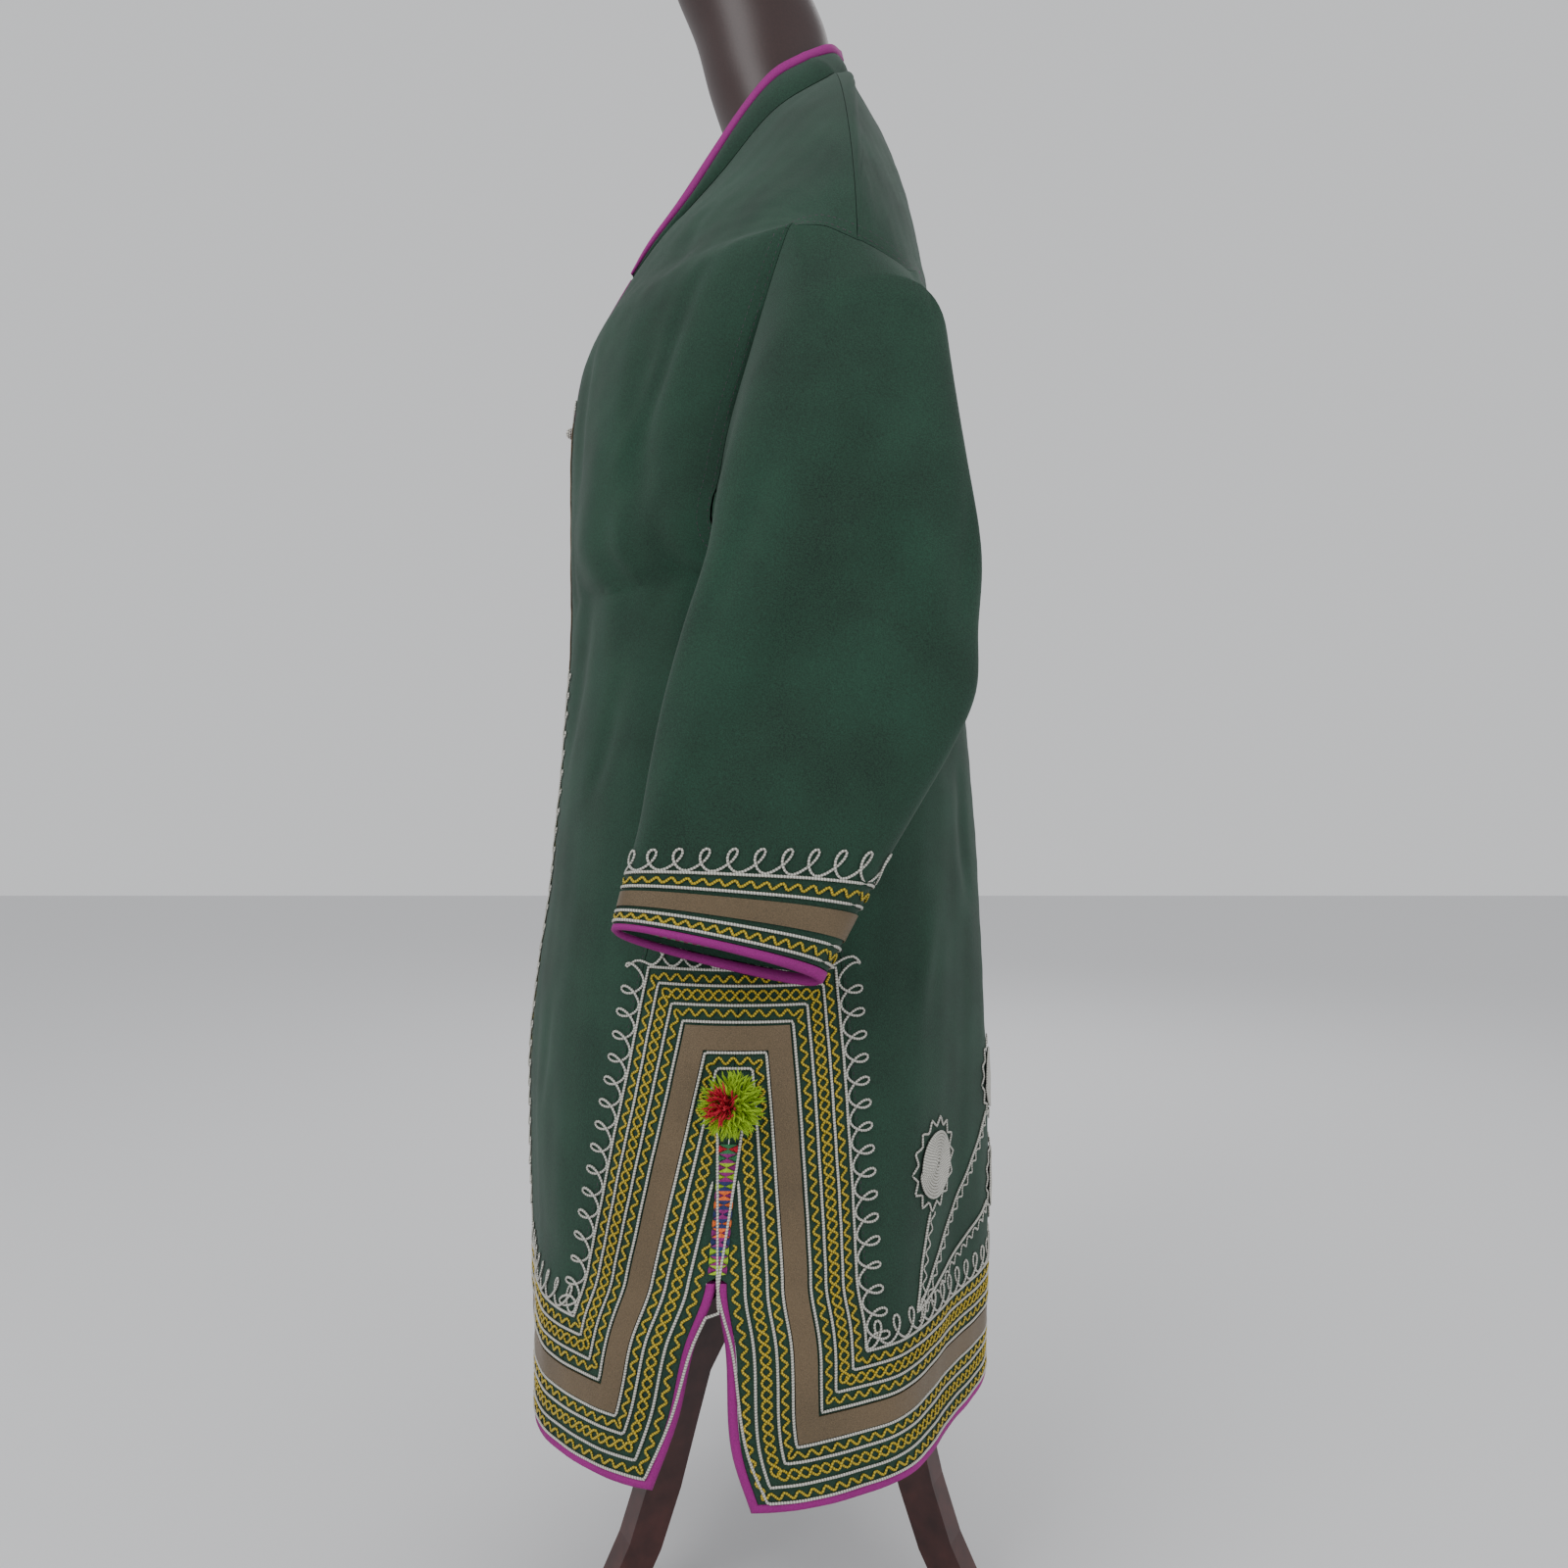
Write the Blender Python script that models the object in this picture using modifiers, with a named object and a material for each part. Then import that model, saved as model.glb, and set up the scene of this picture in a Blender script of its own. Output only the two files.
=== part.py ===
"""Chapan on a limbless dress form: a felted-wool robe with gored sides, slits and hanging sleeves.

Metres, +Z up. +X is the garment's left, -Y its front, and the feet of the stand are at Z = 0.
Each half of the garment is a loft: a row of the tables below is one curve across the cloth, from its
inner edge to the side seam or the armhole. What lies on a panel is made from the panel's own points,
moved out. The right side is the left side mirrored.
"""

import math

import bmesh
import bpy
import numpy as np
from mathutils import Matrix, Vector
from mathutils.bvhtree import BVHTree

# Driving sizes
CLOTH = 0.0026
SEAM_GAP = 0.0006
SHIFT_Y = 0.0197  # the tables' Y is measured from the neck; this centres the whole on the origin

# Heights of the skirt's landmarks
FRONT_HEM = 0.217
BACK_HEM = 0.200
SLIT_TOP = 0.357
POMPOM_Z = 0.4757
ARCH_BASE = 0.4637
ARCH_TOP = 0.5626
UNDERARM = 0.840

# Edge binding and flat ribbon, as distances in from the edge that they follow
BIND = 0.0070
BIND_PROUD = 0.0009
FRONT_RIBBON = (0.0246, 0.0392)
SIDE_RIBBON = (0.0458, 0.0619)
RIBBON_LINES = 0.0012  # a panel's lines run this far outside a ribbon's edges
RIBBON_OFF = 0.0005
RIBBON_THICK = 0.0009

# Side gores: half their width where the slit ends, under the arch of trim and at the underarm
GORE_HEIGHTS = (SLIT_TOP, ARCH_TOP, UNDERARM)
GORE_WIDTHS = (0.104, 0.072, 0.012)

# Columns of the panel rows: up from the hem, edge point, side point, the curve's leave from the edge
# and its arrival at the side
FRONT_SKIRT = (
    (0.000, 0.0120, -0.2045, 0.217, 0.260, -0.0885, 0.217, 0.150, -0.010, 0.0, 0.014, 0.066, 0.0),
    (0.049, 0.0110, -0.2090, 0.266, 0.262, -0.0707, 0.266, 0.150, -0.010, 0.0, 0.008, 0.075, 0.0),
    (0.097, 0.0100, -0.2115, 0.314, 0.263, -0.0600, 0.314, 0.150, -0.008, 0.0, 0.004, 0.080, 0.0),
    (0.140, 0.0090, -0.2130, 0.357, 0.262, -0.0450, 0.357, 0.150, -0.008, 0.0, 0.000, 0.085, 0.0),
    (0.149, 0.0090, -0.2132, 0.366, 0.2616, -0.0442, 0.366, 0.150, -0.008, 0.0, 0.000, 0.086, 0.0),
    (0.273, 0.0070, -0.2140, 0.490, 0.252, -0.0340, 0.490, 0.140, -0.006, 0.0, 0.000, 0.095, 0.0),
    (0.407, 0.0050, -0.1980, 0.624, 0.233, -0.0260, 0.624, 0.130, -0.004, 0.0, 0.000, 0.092, 0.0),
    (0.556, 0.0040, -0.1870, 0.773, 0.212, -0.0150, 0.773, 0.120, -0.002, 0.0, 0.000, 0.090, 0.0),
    (0.623, 0.0030, -0.1850, 0.840, 0.200, -0.0100, 0.840, 0.115, 0.000, 0.0, 0.000, 0.090, 0.0),
)
FRONT_YOKE = (
    (0.623, 0.0030, -0.1850, 0.840, 0.1995, -0.022, 0.840, 0.115, 0.000, 0.0, 0.002, 0.085, 0.0),
    (0.651, 0.0030, -0.1850, 0.868, 0.200, -0.048, 0.866, 0.112, 0.000, 0.0, 0.008, 0.080, 0.0),
    (0.703, 0.0030, -0.1850, 0.920, 0.202, -0.045, 0.920, 0.110, 0.000, 0.0, 0.012, 0.075, 0.0),
    (0.783, 0.0030, -0.1870, 1.000, 0.222, -0.022, 1.000, 0.110, 0.010, 0.0, 0.020, 0.070, 0.0),
    (0.850, 0.0150, -0.1730, 1.062, 0.250, 0.003, 1.066, 0.100, 0.020, 0.010, 0.040, 0.060, 0.0),
    (0.895, 0.0260, -0.1480, 1.105, 0.253, 0.009, 1.067, 0.090, 0.030, 0.0, 0.050, 0.050, -0.020),
    (0.945, 0.0380, -0.1120, 1.152, 0.256, 0.016, 1.066, 0.080, 0.020, -0.010, 0.050, 0.030, -0.050),
    (1.000, 0.0680, -0.0540, 1.200, 0.260, 0.028, 1.063, 0.070, 0.020, -0.030, 0.035, 0.015, -0.070),
    (1.050, 0.0840, -0.0080, 1.245, 0.262, 0.040, 1.057, 0.065, 0.015, -0.035, 0.025, 0.005, -0.075),
    (1.100, 0.0700, 0.0420, 1.284, 0.262, 0.049, 1.053, 0.065, 0.002, -0.035, 0.022, 0.000, -0.080),
)
BACK_SKIRT = (
    (0.000, 0.0, 0.1700, 0.200, 0.258, -0.0220, 0.200, 0.150, 0.0, 0.0, 0.000, -0.100, 0.0),
    (0.038, 0.0, 0.1710, 0.238, 0.261, -0.0340, 0.238, 0.150, 0.0, 0.0, 0.000, -0.105, 0.0),
    (0.114, 0.0, 0.1740, 0.314, 0.262, -0.0393, 0.314, 0.150, 0.0, 0.0, 0.000, -0.110, 0.0),
    (0.157, 0.0, 0.1750, 0.357, 0.262, -0.0450, 0.357, 0.150, 0.0, 0.0, 0.000, -0.110, 0.0),
    (0.166, 0.0, 0.1750, 0.366, 0.2616, -0.0442, 0.366, 0.150, 0.0, 0.0, 0.000, -0.110, 0.0),
    (0.290, 0.0, 0.1725, 0.490, 0.252, -0.0340, 0.490, 0.145, 0.0, 0.0, 0.000, -0.110, 0.0),
    (0.424, 0.0, 0.1680, 0.624, 0.233, -0.0260, 0.624, 0.130, 0.0, 0.0, 0.000, -0.105, 0.0),
    (0.573, 0.0, 0.1560, 0.773, 0.212, -0.0150, 0.773, 0.115, 0.0, 0.0, 0.000, -0.095, 0.0),
    (0.640, 0.0, 0.1460, 0.840, 0.200, -0.0100, 0.840, 0.110, 0.0, 0.0, 0.000, -0.088, 0.0),
)
BACK_YOKE = (
    (0.640, 0.0, 0.1460, 0.840, 0.1995, 0.002, 0.840, 0.110, 0.0, 0.0, 0.002, -0.080, 0.0),
    (0.668, 0.0, 0.1430, 0.868, 0.200, 0.030, 0.853, 0.110, 0.0, 0.0, 0.020, -0.060, -0.005),
    (0.720, 0.0, 0.1370, 0.920, 0.204, 0.070, 0.900, 0.110, 0.0, 0.0, 0.035, -0.035, -0.010),
    (0.800, 0.0, 0.1300, 1.000, 0.226, 0.092, 0.972, 0.110, 0.0, 0.0, 0.050, -0.020, -0.012),
    (0.860, 0.0, 0.1240, 1.060, 0.248, 0.093, 1.028, 0.110, 0.0, 0.0, 0.060, -0.012, -0.020),
    (0.930, 0.0, 0.1160, 1.130, 0.2535, 0.083, 1.037, 0.100, 0.0, 0.0, 0.050, -0.010, -0.045),
    (1.000, 0.0, 0.1040, 1.200, 0.257, 0.071, 1.044, 0.090, 0.0, -0.005, 0.035, -0.008, -0.065),
    (1.060, 0.0, 0.0850, 1.260, 0.260, 0.060, 1.049, 0.080, 0.0, -0.010, 0.025, -0.003, -0.075),
    (1.110, 0.0, 0.0600, 1.304, 0.2612, 0.054, 1.0515, 0.080, 0.0, -0.008, 0.022, -0.002, -0.080),
    (1.150, 0.0420, 0.0560, 1.297, 0.2617, 0.0515, 1.0525, 0.070, 0.0, -0.020, 0.022, 0.0, -0.080),
    (1.190, 0.0700, 0.0420, 1.284, 0.262, 0.049, 1.053, 0.065, 0.002, -0.035, 0.022, 0.0, -0.080),
)

# Largest folds. Columns: place across (0 inner edge, 1 side) and height of the lower end, the same of
# the upper end, half width, depth (negative is a valley), 1 where it runs out through the hem
FRONT_FOLDS = (
    (0.34, 0.000, 0.30, 0.420, 0.034, -0.0050, 1),
    (0.62, 0.000, 0.58, 0.400, 0.030, 0.0040, 1),
    (0.30, 0.480, 0.40, 0.640, 0.017, -0.0050, 0),
    (0.36, 0.700, 0.17, 0.860, 0.016, -0.0050, 0),
    (0.78, 0.640, 0.62, 0.830, 0.018, -0.0075, 0),
    (0.55, 0.560, 0.50, 0.760, 0.022, 0.0050, 0),
)
BACK_FOLDS = (
    (0.22, 0.000, 0.18, 0.520, 0.034, 0.0045, 1),
    (0.45, 0.000, 0.36, 0.560, 0.036, -0.0060, 1),
    (0.68, 0.000, 0.58, 0.480, 0.030, 0.0045, 1),
    (0.40, 0.480, 0.66, 0.760, 0.026, -0.0060, 0),
    (0.12, 0.620, 0.20, 0.900, 0.030, -0.0035, 0),
)

# Rows of the panels, as heights above their own hem and, between, as heights above the floor
HEM_ROWS = (BIND, SIDE_RIBBON[0] - RIBBON_LINES, SIDE_RIBBON[1] + RIBBON_LINES, 0.100)
ARCH_ROWS = (ARCH_BASE + HEM_ROWS[1], ARCH_BASE + HEM_ROWS[2])
SLIT_STEP = 0.004
SKIRT_HEIGHTS = (
    SLIT_TOP, SLIT_TOP + SLIT_STEP, 0.398, 0.435, 0.4725, *ARCH_ROWS,
    0.565, 0.610, 0.655, 0.700, 0.750, 0.795, UNDERARM,
)
COLLAR_START = 0.921
BIND_END = COLLAR_START - 0.004
FRONT_UPPER = (
    0.651, 0.703, 0.745, 0.783, 0.820, 0.850, 0.890, BIND_END, COLLAR_START,
    0.948, 0.975, 1.005, 1.035, 1.067, 1.100,
)
BACK_UPPER = (0.668, 0.720, 0.762, 0.800, 0.830, 0.860, 0.930, 1.000, 1.060, 1.110, 1.150, 1.190)
BACK_NECK = 1.110
FRONT_RIBBON_TOP = 0.783

# Top edge of the stand collar over the front's and the back's own neckline rows: up, x, y, z
COLLAR_FRONT = (
    (0.921, 0.0310, -0.1335, 1.1345),
    (0.948, 0.0340, -0.1180, 1.1600),
    (0.975, 0.0450, -0.0930, 1.1880),
    (1.005, 0.0560, -0.0620, 1.2280),
    (1.035, 0.0625, -0.0360, 1.2620),
    (1.067, 0.0655, -0.0110, 1.2900),
    (1.100, 0.0590, 0.0150, 1.3090),
)
COLLAR_BACK = ((1.110, 0.0, 0.0510, 1.3490), (1.150, 0.0370, 0.0385, 1.3310), (1.190, 0.0590, 0.0150, 1.3090))
COLLAR_BIND = 0.010
COLLAR_THICK = 0.0030

# Sleeve rings from the cuff up. Columns: distance above the cuff, front fold y z, back fold y z,
# middle x, half thickness x y z from the middle to the outer face
SLEEVE_RINGS = (
    (0.000, -0.113, 0.5920, 0.024, 0.5580, 0.2715, 0.0255, 0.000, 0.010),
    (0.053, -0.104, 0.6280, 0.056, 0.6190, 0.2715, 0.0270, 0.000, 0.006),
    (0.101, -0.095, 0.6650, 0.086, 0.6700, 0.2700, 0.0280, 0.000, 0.004),
    (0.144, -0.089, 0.7000, 0.112, 0.7150, 0.2690, 0.0280, 0.000, 0.006),
    (0.183, -0.081, 0.7400, 0.127, 0.7500, 0.2670, 0.0285, 0.000, 0.012),
    (0.226, -0.069, 0.7850, 0.129, 0.7900, 0.2640, 0.0300, 0.000, 0.022),
    (0.280, -0.052, 0.8410, 0.131, 0.8410, 0.2590, 0.0330, 0.004, 0.037),
    (0.325, -0.045, 0.8850, 0.120, 0.8920, 0.2530, 0.0350, 0.010, 0.060),
    (0.356, -0.036, 0.9250, 0.106, 0.9450, 0.2430, 0.0360, 0.020, 0.085),
)
SLEEVE_SQUARE = 0.86  # under 1 the ring is fuller than an ellipse
SLEEVE_ROWS = (
    0.356, 0.325, 0.280, 0.226, 0.183, 0.144, 0.101, 0.070,
    FRONT_RIBBON[1] + RIBBON_LINES, FRONT_RIBBON[0] - RIBBON_LINES, BIND,
)
# Sleeve folds. Columns: angle round the ring in degrees (90 is the outer face), its lower end, angle
# and height of its upper end, half width in degrees, depth
SLEEVE_FOLDS = (
    (62.0, 0.030, 100.0, 0.230, 16.0, -0.0060),
    (120.0, 0.120, 60.0, 0.300, 15.0, -0.0055),
    (40.0, 0.190, 96.0, 0.350, 14.0, 0.0040),
    (150.0, 0.060, 128.0, 0.200, 14.0, 0.0035),
)
LINING_REACH = (0.012, 0.062)
LINING_THICK = 0.0014

# Pieces on the cloth
STRIP_HALF = 0.0065
STRIP_HEIGHTS = (0.363, 0.398, 0.435, 0.448)
STRIP_THICK = 0.0012
POMPOM_RADIUS = 0.0245
POMPOM_CORE = 0.0105
POMPOM_TILT = -0.15  # strands that point further into the cloth than this are left out
FLOWER_COILS = 0.0245
FLOWER_POINTS = 14
FLOWER_RADII = (0.0275, 0.0335)
FLOWER_OFF = 0.0007
FLOWERS = {"flower_1": (0.195, 0.210), "flower_2": (0.064, 0.245), "flower_3": (0.058, 0.160)}
BUTTON_AT = (0.0, -0.1950, 1.004)
BUTTON_RADIUS = 0.0055
SEAT = 0.0004

# Dress form. Columns: height, half width, middle y, half depth
TORSO_RINGS = (
    (0.650, 0.130, -0.004, 0.094),
    (0.700, 0.138, -0.005, 0.100),
    (0.770, 0.140, -0.008, 0.103),
    (0.850, 0.150, -0.012, 0.110),
    (0.930, 0.164, -0.018, 0.115),
    (1.020, 0.176, -0.018, 0.112),
    (1.090, 0.180, -0.006, 0.097),
    (1.140, 0.174, 0.004, 0.080),
    (1.170, 0.158, 0.014, 0.064),
    (1.195, 0.130, 0.016, 0.058),
    (1.220, 0.092, 0.014, 0.052),
    (1.243, 0.066, 0.006, 0.050),
    (1.270, 0.055, -0.003, 0.0520),
    (1.305, 0.052, -0.011, 0.0560),
    (1.354, 0.051, -0.0205, 0.0600),
    (1.393, 0.051, -0.0365, 0.0600),
)
TORSO_SIDES = 20
CAP_HEIGHT = 0.020
COLUMN_PROFILE = (
    (0.0250, 0.6450), (0.0250, 0.6300), (0.0160, 0.6150), (0.0150, 0.3300), (0.0210, 0.3100),
    (0.0290, 0.2900), (0.0310, 0.2600), (0.0300, 0.2150), (0.0220, 0.1950), (0.0100, 0.1880),
)
COLUMN_Y = 0.0050
COLUMN_STEPS = 16
# Leg outline in its own plane: middle line radius and height, half width
LEG_LINE = (
    (0.0330, 0.2500, 0.0190), (0.0560, 0.2470, 0.0185), (0.0800, 0.2300, 0.0180),
    (0.1000, 0.1980, 0.0175), (0.1130, 0.1550, 0.0170), (0.1270, 0.1050, 0.0160),
    (0.1440, 0.0600, 0.0155), (0.1620, 0.0280, 0.0150),
)
LEG_TOE = 0.1900
LEG_HALF_THICK = 0.0110
LEG_ANGLES = {"leg_front": -60.0, "leg_back": 60.0, "leg_side": 180.0}

# Colour, roughness, metallic
FINISHES = {
    "wool": ((0.0225, 0.0900, 0.0500, 1.0), 0.95, 0.0),
    "binding": ((0.3000, 0.0020, 0.1900, 1.0), 0.55, 0.0),
    "ribbon": ((0.2000, 0.1450, 0.0850, 1.0), 0.45, 0.3),
    "lining": ((0.1800, 0.2600, 0.1400, 1.0), 0.80, 0.0),
    "strip": ((0.2600, 0.0200, 0.1400, 1.0), 0.85, 0.0),
    "pompom": ((0.2500, 0.4500, 0.0400, 1.0), 0.90, 0.0),
    "silver": ((0.5500, 0.5600, 0.5800, 1.0), 0.40, 0.7),
    "form": ((0.0300, 0.0120, 0.0110, 1.0), 0.70, 0.0),
    "wood": ((0.0450, 0.0140, 0.0130, 1.0), 0.35, 0.0),
}

CURVE_STEPS = 24
NUDGE = 0.0012
MIRROR = np.array((-1.0, 1.0, 1.0))


def spline(table, at):
    """A table's columns at these values of its first column, on one smooth curve through its rows."""
    table = np.asarray(table, float)
    keys, values = table[:, 0], table[:, 1:]
    at = np.clip(np.asarray(at, float), keys[0], keys[-1])
    row = np.clip(np.searchsorted(keys, at, side="right") - 1, 0, len(keys) - 2)
    slopes = np.gradient(values, keys, axis=0)
    step = keys[row + 1] - keys[row]
    v = ((at - keys[row]) / step)[:, None]
    step = step[:, None]
    return (
        (1 + 2 * v) * (1 - v) ** 2 * values[row]
        + v * (1 - v) ** 2 * step * slopes[row]
        + v * v * (3 - 2 * v) * values[row + 1]
        + v * v * (v - 1) * step * slopes[row + 1]
    )


def curve_weights(v):
    """Weights of the four control points of a cubic curve at v."""
    v = np.asarray(v, float)
    return np.stack([(1 - v) ** 3, 3 * v * (1 - v) ** 2, 3 * v * v * (1 - v), v**3], axis=-1)


def unit(vectors):
    return vectors / np.maximum(np.linalg.norm(vectors, axis=-1, keepdims=True), 1e-12)


def gore_reach(z):
    """Distance along the cloth from the side seam to the gore's outer seam."""
    return np.interp(z, GORE_HEIGHTS, GORE_WIDTHS)


def side_line(from_edge, z):
    """Distance from the side seam of a line of trim that starts this far in from the slit's edge."""
    drawn_in = GORE_WIDTHS[0] - gore_reach(z)
    narrow = GORE_WIDTHS[0] - GORE_WIDTHS[1]
    above = (from_edge - narrow) * gore_reach(z) / GORE_WIDTHS[1]
    return np.where(z <= ARCH_TOP, from_edge - drawn_in, above)


class HalfPanel:
    """One half of the front or the back. A place on it is (metres from its inner edge, up)."""

    def __init__(self, skirt, yoke, hem, facing, folds):
        self.skirt = np.array(skirt)
        self.yoke = np.array(yoke)
        self.hem = hem
        self.facing = facing
        self.folds = folds
        self.underarm = self.skirt[-1, 0]
        self.top = self.yoke[-1, 0]

    def controls(self, up):
        low = spline(self.skirt, np.minimum(up, self.underarm))
        high = spline(self.yoke, np.maximum(up, self.underarm))
        columns = np.where((up <= self.underarm + 1e-9)[:, None], low, high)
        edge, side = columns[:, 0:3], columns[:, 3:6]
        return np.stack([edge, edge + columns[:, 6:9], side - columns[:, 9:12], side], axis=1)

    def runs(self, up):
        """Length along each row at even steps of its curve."""
        steps = curve_weights(np.linspace(0, 1, CURVE_STEPS + 1))
        line = np.einsum("sk,nkc->nsc", steps, self.controls(up))
        lengths = np.linalg.norm(np.diff(line, axis=1), axis=2)
        return np.concatenate([np.zeros((len(up), 1)), np.cumsum(lengths, axis=1)], axis=1)

    def length(self, up):
        return self.runs(np.atleast_1d(up))[:, -1]

    def smooth_point(self, across, up):
        runs = self.runs(up)
        across = np.clip(across, 0, runs[:, -1])
        step = np.clip((runs <= across[:, None]).sum(axis=1) - 1, 0, CURVE_STEPS - 1)
        rows = np.arange(len(up))
        part = (across - runs[rows, step]) / (runs[rows, step + 1] - runs[rows, step])
        weights = curve_weights((step + part) / CURVE_STEPS)
        return np.einsum("nk,nkc->nc", weights, self.controls(up))

    def normals(self, point, across, up):
        length = self.length(up)
        sideways = point(np.minimum(across + NUDGE, length), up) - point(np.maximum(across - NUDGE, 0), up)
        upwards = point(across, np.minimum(up + NUDGE, self.top)) - point(across, np.maximum(up - NUDGE, 0))
        return self.facing * unit(np.cross(sideways, upwards))

    def fold_rise(self, across, up):
        length = self.length(up)
        rise = np.zeros(len(up))
        for low_at, low_up, high_at, high_up, width, depth, open_foot in self.folds:
            v = (up - low_up) / (high_up - low_up)
            at = low_at + (high_at - low_at) * v
            inside = np.clip(v, 0, 1)
            fade = np.cos(inside * math.pi / 2) if open_foot else np.sin(inside * math.pi)
            rise += depth * fade * np.exp(-(((across - at * length) / width) ** 2))
        return rise

    def point(self, across, up):
        """Points of the outer face, folds included."""
        across, up = np.broadcast_arrays(np.asarray(across, float), np.asarray(up, float))
        shape = across.shape
        across, up = across.ravel(), up.ravel()
        normals = self.normals(self.smooth_point, across, up)
        points = self.smooth_point(across, up) + normals * self.fold_rise(across, up)[:, None]
        return points.reshape(*shape, 3)

    def place(self, across, up):
        """Points of the outer face and the directions out of it."""
        across, up = np.broadcast_arrays(np.asarray(across, float), np.asarray(up, float))
        shape = across.shape
        flat = self.normals(self.point, across.ravel(), up.ravel())
        return self.point(across, up), flat.reshape(*shape, 3)

    def from_side(self, distance, up):
        """The place that lies this far from the side seam or slit."""
        return self.length(np.asarray(up, float).ravel()).reshape(np.shape(up)) - distance


FRONT = HalfPanel(FRONT_SKIRT, FRONT_YOKE, FRONT_HEM, 1.0, FRONT_FOLDS)
BACK = HalfPanel(BACK_SKIRT, BACK_YOKE, BACK_HEM, -1.0, BACK_FOLDS)


def skirt_rows(half):
    heights = np.array(SKIRT_HEIGHTS) - half.hem
    return np.concatenate([np.array(HEM_ROWS), heights])


def upper_rows(half):
    return np.array(FRONT_UPPER if half is FRONT else BACK_UPPER)


def panel_columns(half, up):
    """Places of the panel's lines across one row, from its inner edge to the gore seam or armhole."""
    length = half.length(up)[0]
    reach = gore_reach(half.hem + up) if up <= half.underarm + 1e-9 else 0.0
    start = BIND if half is FRONT and up < COLLAR_START - 1e-9 else 0.0
    lines = (start, FRONT_RIBBON[0] - RIBBON_LINES, FRONT_RIBBON[1] + RIBBON_LINES)
    beside_ribbon = np.concatenate([lines, np.linspace(lines[-1], length - reach, 7)[1:]])
    if half is FRONT:
        return beside_ribbon
    # The back's lines are even, and drift to the front's own places at the shoulder seam
    part = np.clip((up - BACK_NECK) / (half.top - BACK_NECK), 0, 1)
    even = np.linspace(0.0, length - reach, len(beside_ribbon))
    return even * (1 - part) + beside_ribbon * part


def gore_columns(half, up):
    """Places of a gore's lines across one row, from its outer seam to the slit or side seam."""
    z = half.hem + up
    inner = side_line(HEM_ROWS[1], z)
    middle = side_line(HEM_ROWS[2], z)
    last = BIND if z < SLIT_TOP + SLIT_STEP / 2 else 0.0
    distances = np.array([gore_reach(z), middle, inner, (inner + last) / 2, last])
    return half.length(up)[0] - distances


def shoulder_normals():
    """Directions out of the shoulder seam, halfway between the front's and the back's."""
    across = panel_columns(FRONT, FRONT.top)
    front = FRONT.place(across, FRONT.top)[1]
    return unit(front + BACK.place(across, BACK.top)[1])


def side_seam(heights):
    """Points of the side seam at these heights, and directions halfway between front and back."""
    up = np.asarray(heights) - FRONT_HEM
    points, front = FRONT.place(FRONT.length(up), up)
    up = np.asarray(heights) - BACK_HEM
    return points, unit(front + BACK.place(BACK.length(up), up)[1])


def grid_of(half, rows, columns):
    across = np.array([columns(half, up) for up in rows])
    ups = np.repeat(np.asarray(rows)[:, None], across.shape[1], axis=1)
    return half.place(across, ups)


def pull_in(points, row, column, amount):
    """Moves a boundary line of a grid this far towards its neighbour line."""
    if row is not None:
        neighbour = row + 1 if row == 0 else row - 1
        points[row] += unit(points[neighbour] - points[row]) * amount
    else:
        neighbour = column + 1 if column == 0 else column - 1
        points[:, column] += unit(points[:, neighbour] - points[:, column]) * amount


def sleeve_rings(w):
    """Middle, half width towards the back and half thickness towards the outer face of each ring."""
    front_y, front_z, back_y, back_z, middle_x, out_x, out_y, out_z = spline(SLEEVE_RINGS, w).T
    middle = np.stack([middle_x, (front_y + back_y) / 2, (front_z + back_z) / 2], axis=1)
    across = np.stack([np.zeros_like(w), (back_y - front_y) / 2, (back_z - front_z) / 2], axis=1)
    return middle, across, np.stack([out_x, out_y, out_z], axis=1)


def sleeve_point(angle, w):
    """Points of the sleeve's outer face at these angles (radians) and distances above the cuff."""
    angle, w = np.broadcast_arrays(np.asarray(angle, float), np.asarray(w, float))
    shape = angle.shape
    angle, w = angle.ravel(), w.ravel()
    middle, across, out = sleeve_rings(w)
    c = np.sign(np.cos(angle)) * np.abs(np.cos(angle)) ** SLEEVE_SQUARE
    s = np.sign(np.sin(angle)) * np.abs(np.sin(angle)) ** SLEEVE_SQUARE
    rise = np.zeros(len(w))
    for low_angle, low_w, high_angle, high_w, width, depth in SLEEVE_FOLDS:
        v = (w - low_w) / (high_w - low_w)
        at = np.radians(low_angle + (high_angle - low_angle) * v)
        turn = (angle - at + math.pi) % (2 * math.pi) - math.pi
        fade = np.sin(np.clip(v, 0, 1) * math.pi)
        rise += depth * fade * np.exp(-((turn / math.radians(width)) ** 2))
    points = middle + across * c[:, None] + out * s[:, None]
    away = unit(np.stack([np.abs(s) * np.sign(s), c * 0.3, np.zeros_like(s)], axis=1))
    return (points + away * rise[:, None]).reshape(*shape, 3)


def armhole():
    """The seam's samples in order from the top, down the back and up the front, with body directions."""
    back_rows = upper_rows(BACK)[::-1]
    front_rows = upper_rows(FRONT)
    corner = GORE_WIDTHS[-1]
    places = [(BACK, BACK.length(up)[0], up) for up in back_rows]
    places += [(BACK, BACK.length(BACK.underarm)[0] - corner, BACK.underarm)]
    places += [(FRONT, FRONT.length(FRONT.underarm)[0], FRONT.underarm)]
    places += [(FRONT, FRONT.length(FRONT.underarm)[0] - corner, FRONT.underarm)]
    places += [(FRONT, FRONT.length(up)[0], up) for up in front_rows[:-1] if up != BIND_END]
    points, normals, leaving = [], [], []
    for half, across, up in places:
        point, normal = half.place(np.array([across]), np.array([up]))
        if up <= half.underarm + 1e-9:
            before = half.point(np.array([across]), np.array([up - 0.01]))
        else:
            before = half.point(np.array([across - 0.01]), np.array([up]))
        points.append(point[0])
        normals.append(normal[0])
        leaving.append(unit(point[0] - before[0]))
    return np.array(points), np.array(normals), np.array(leaving)


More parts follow.
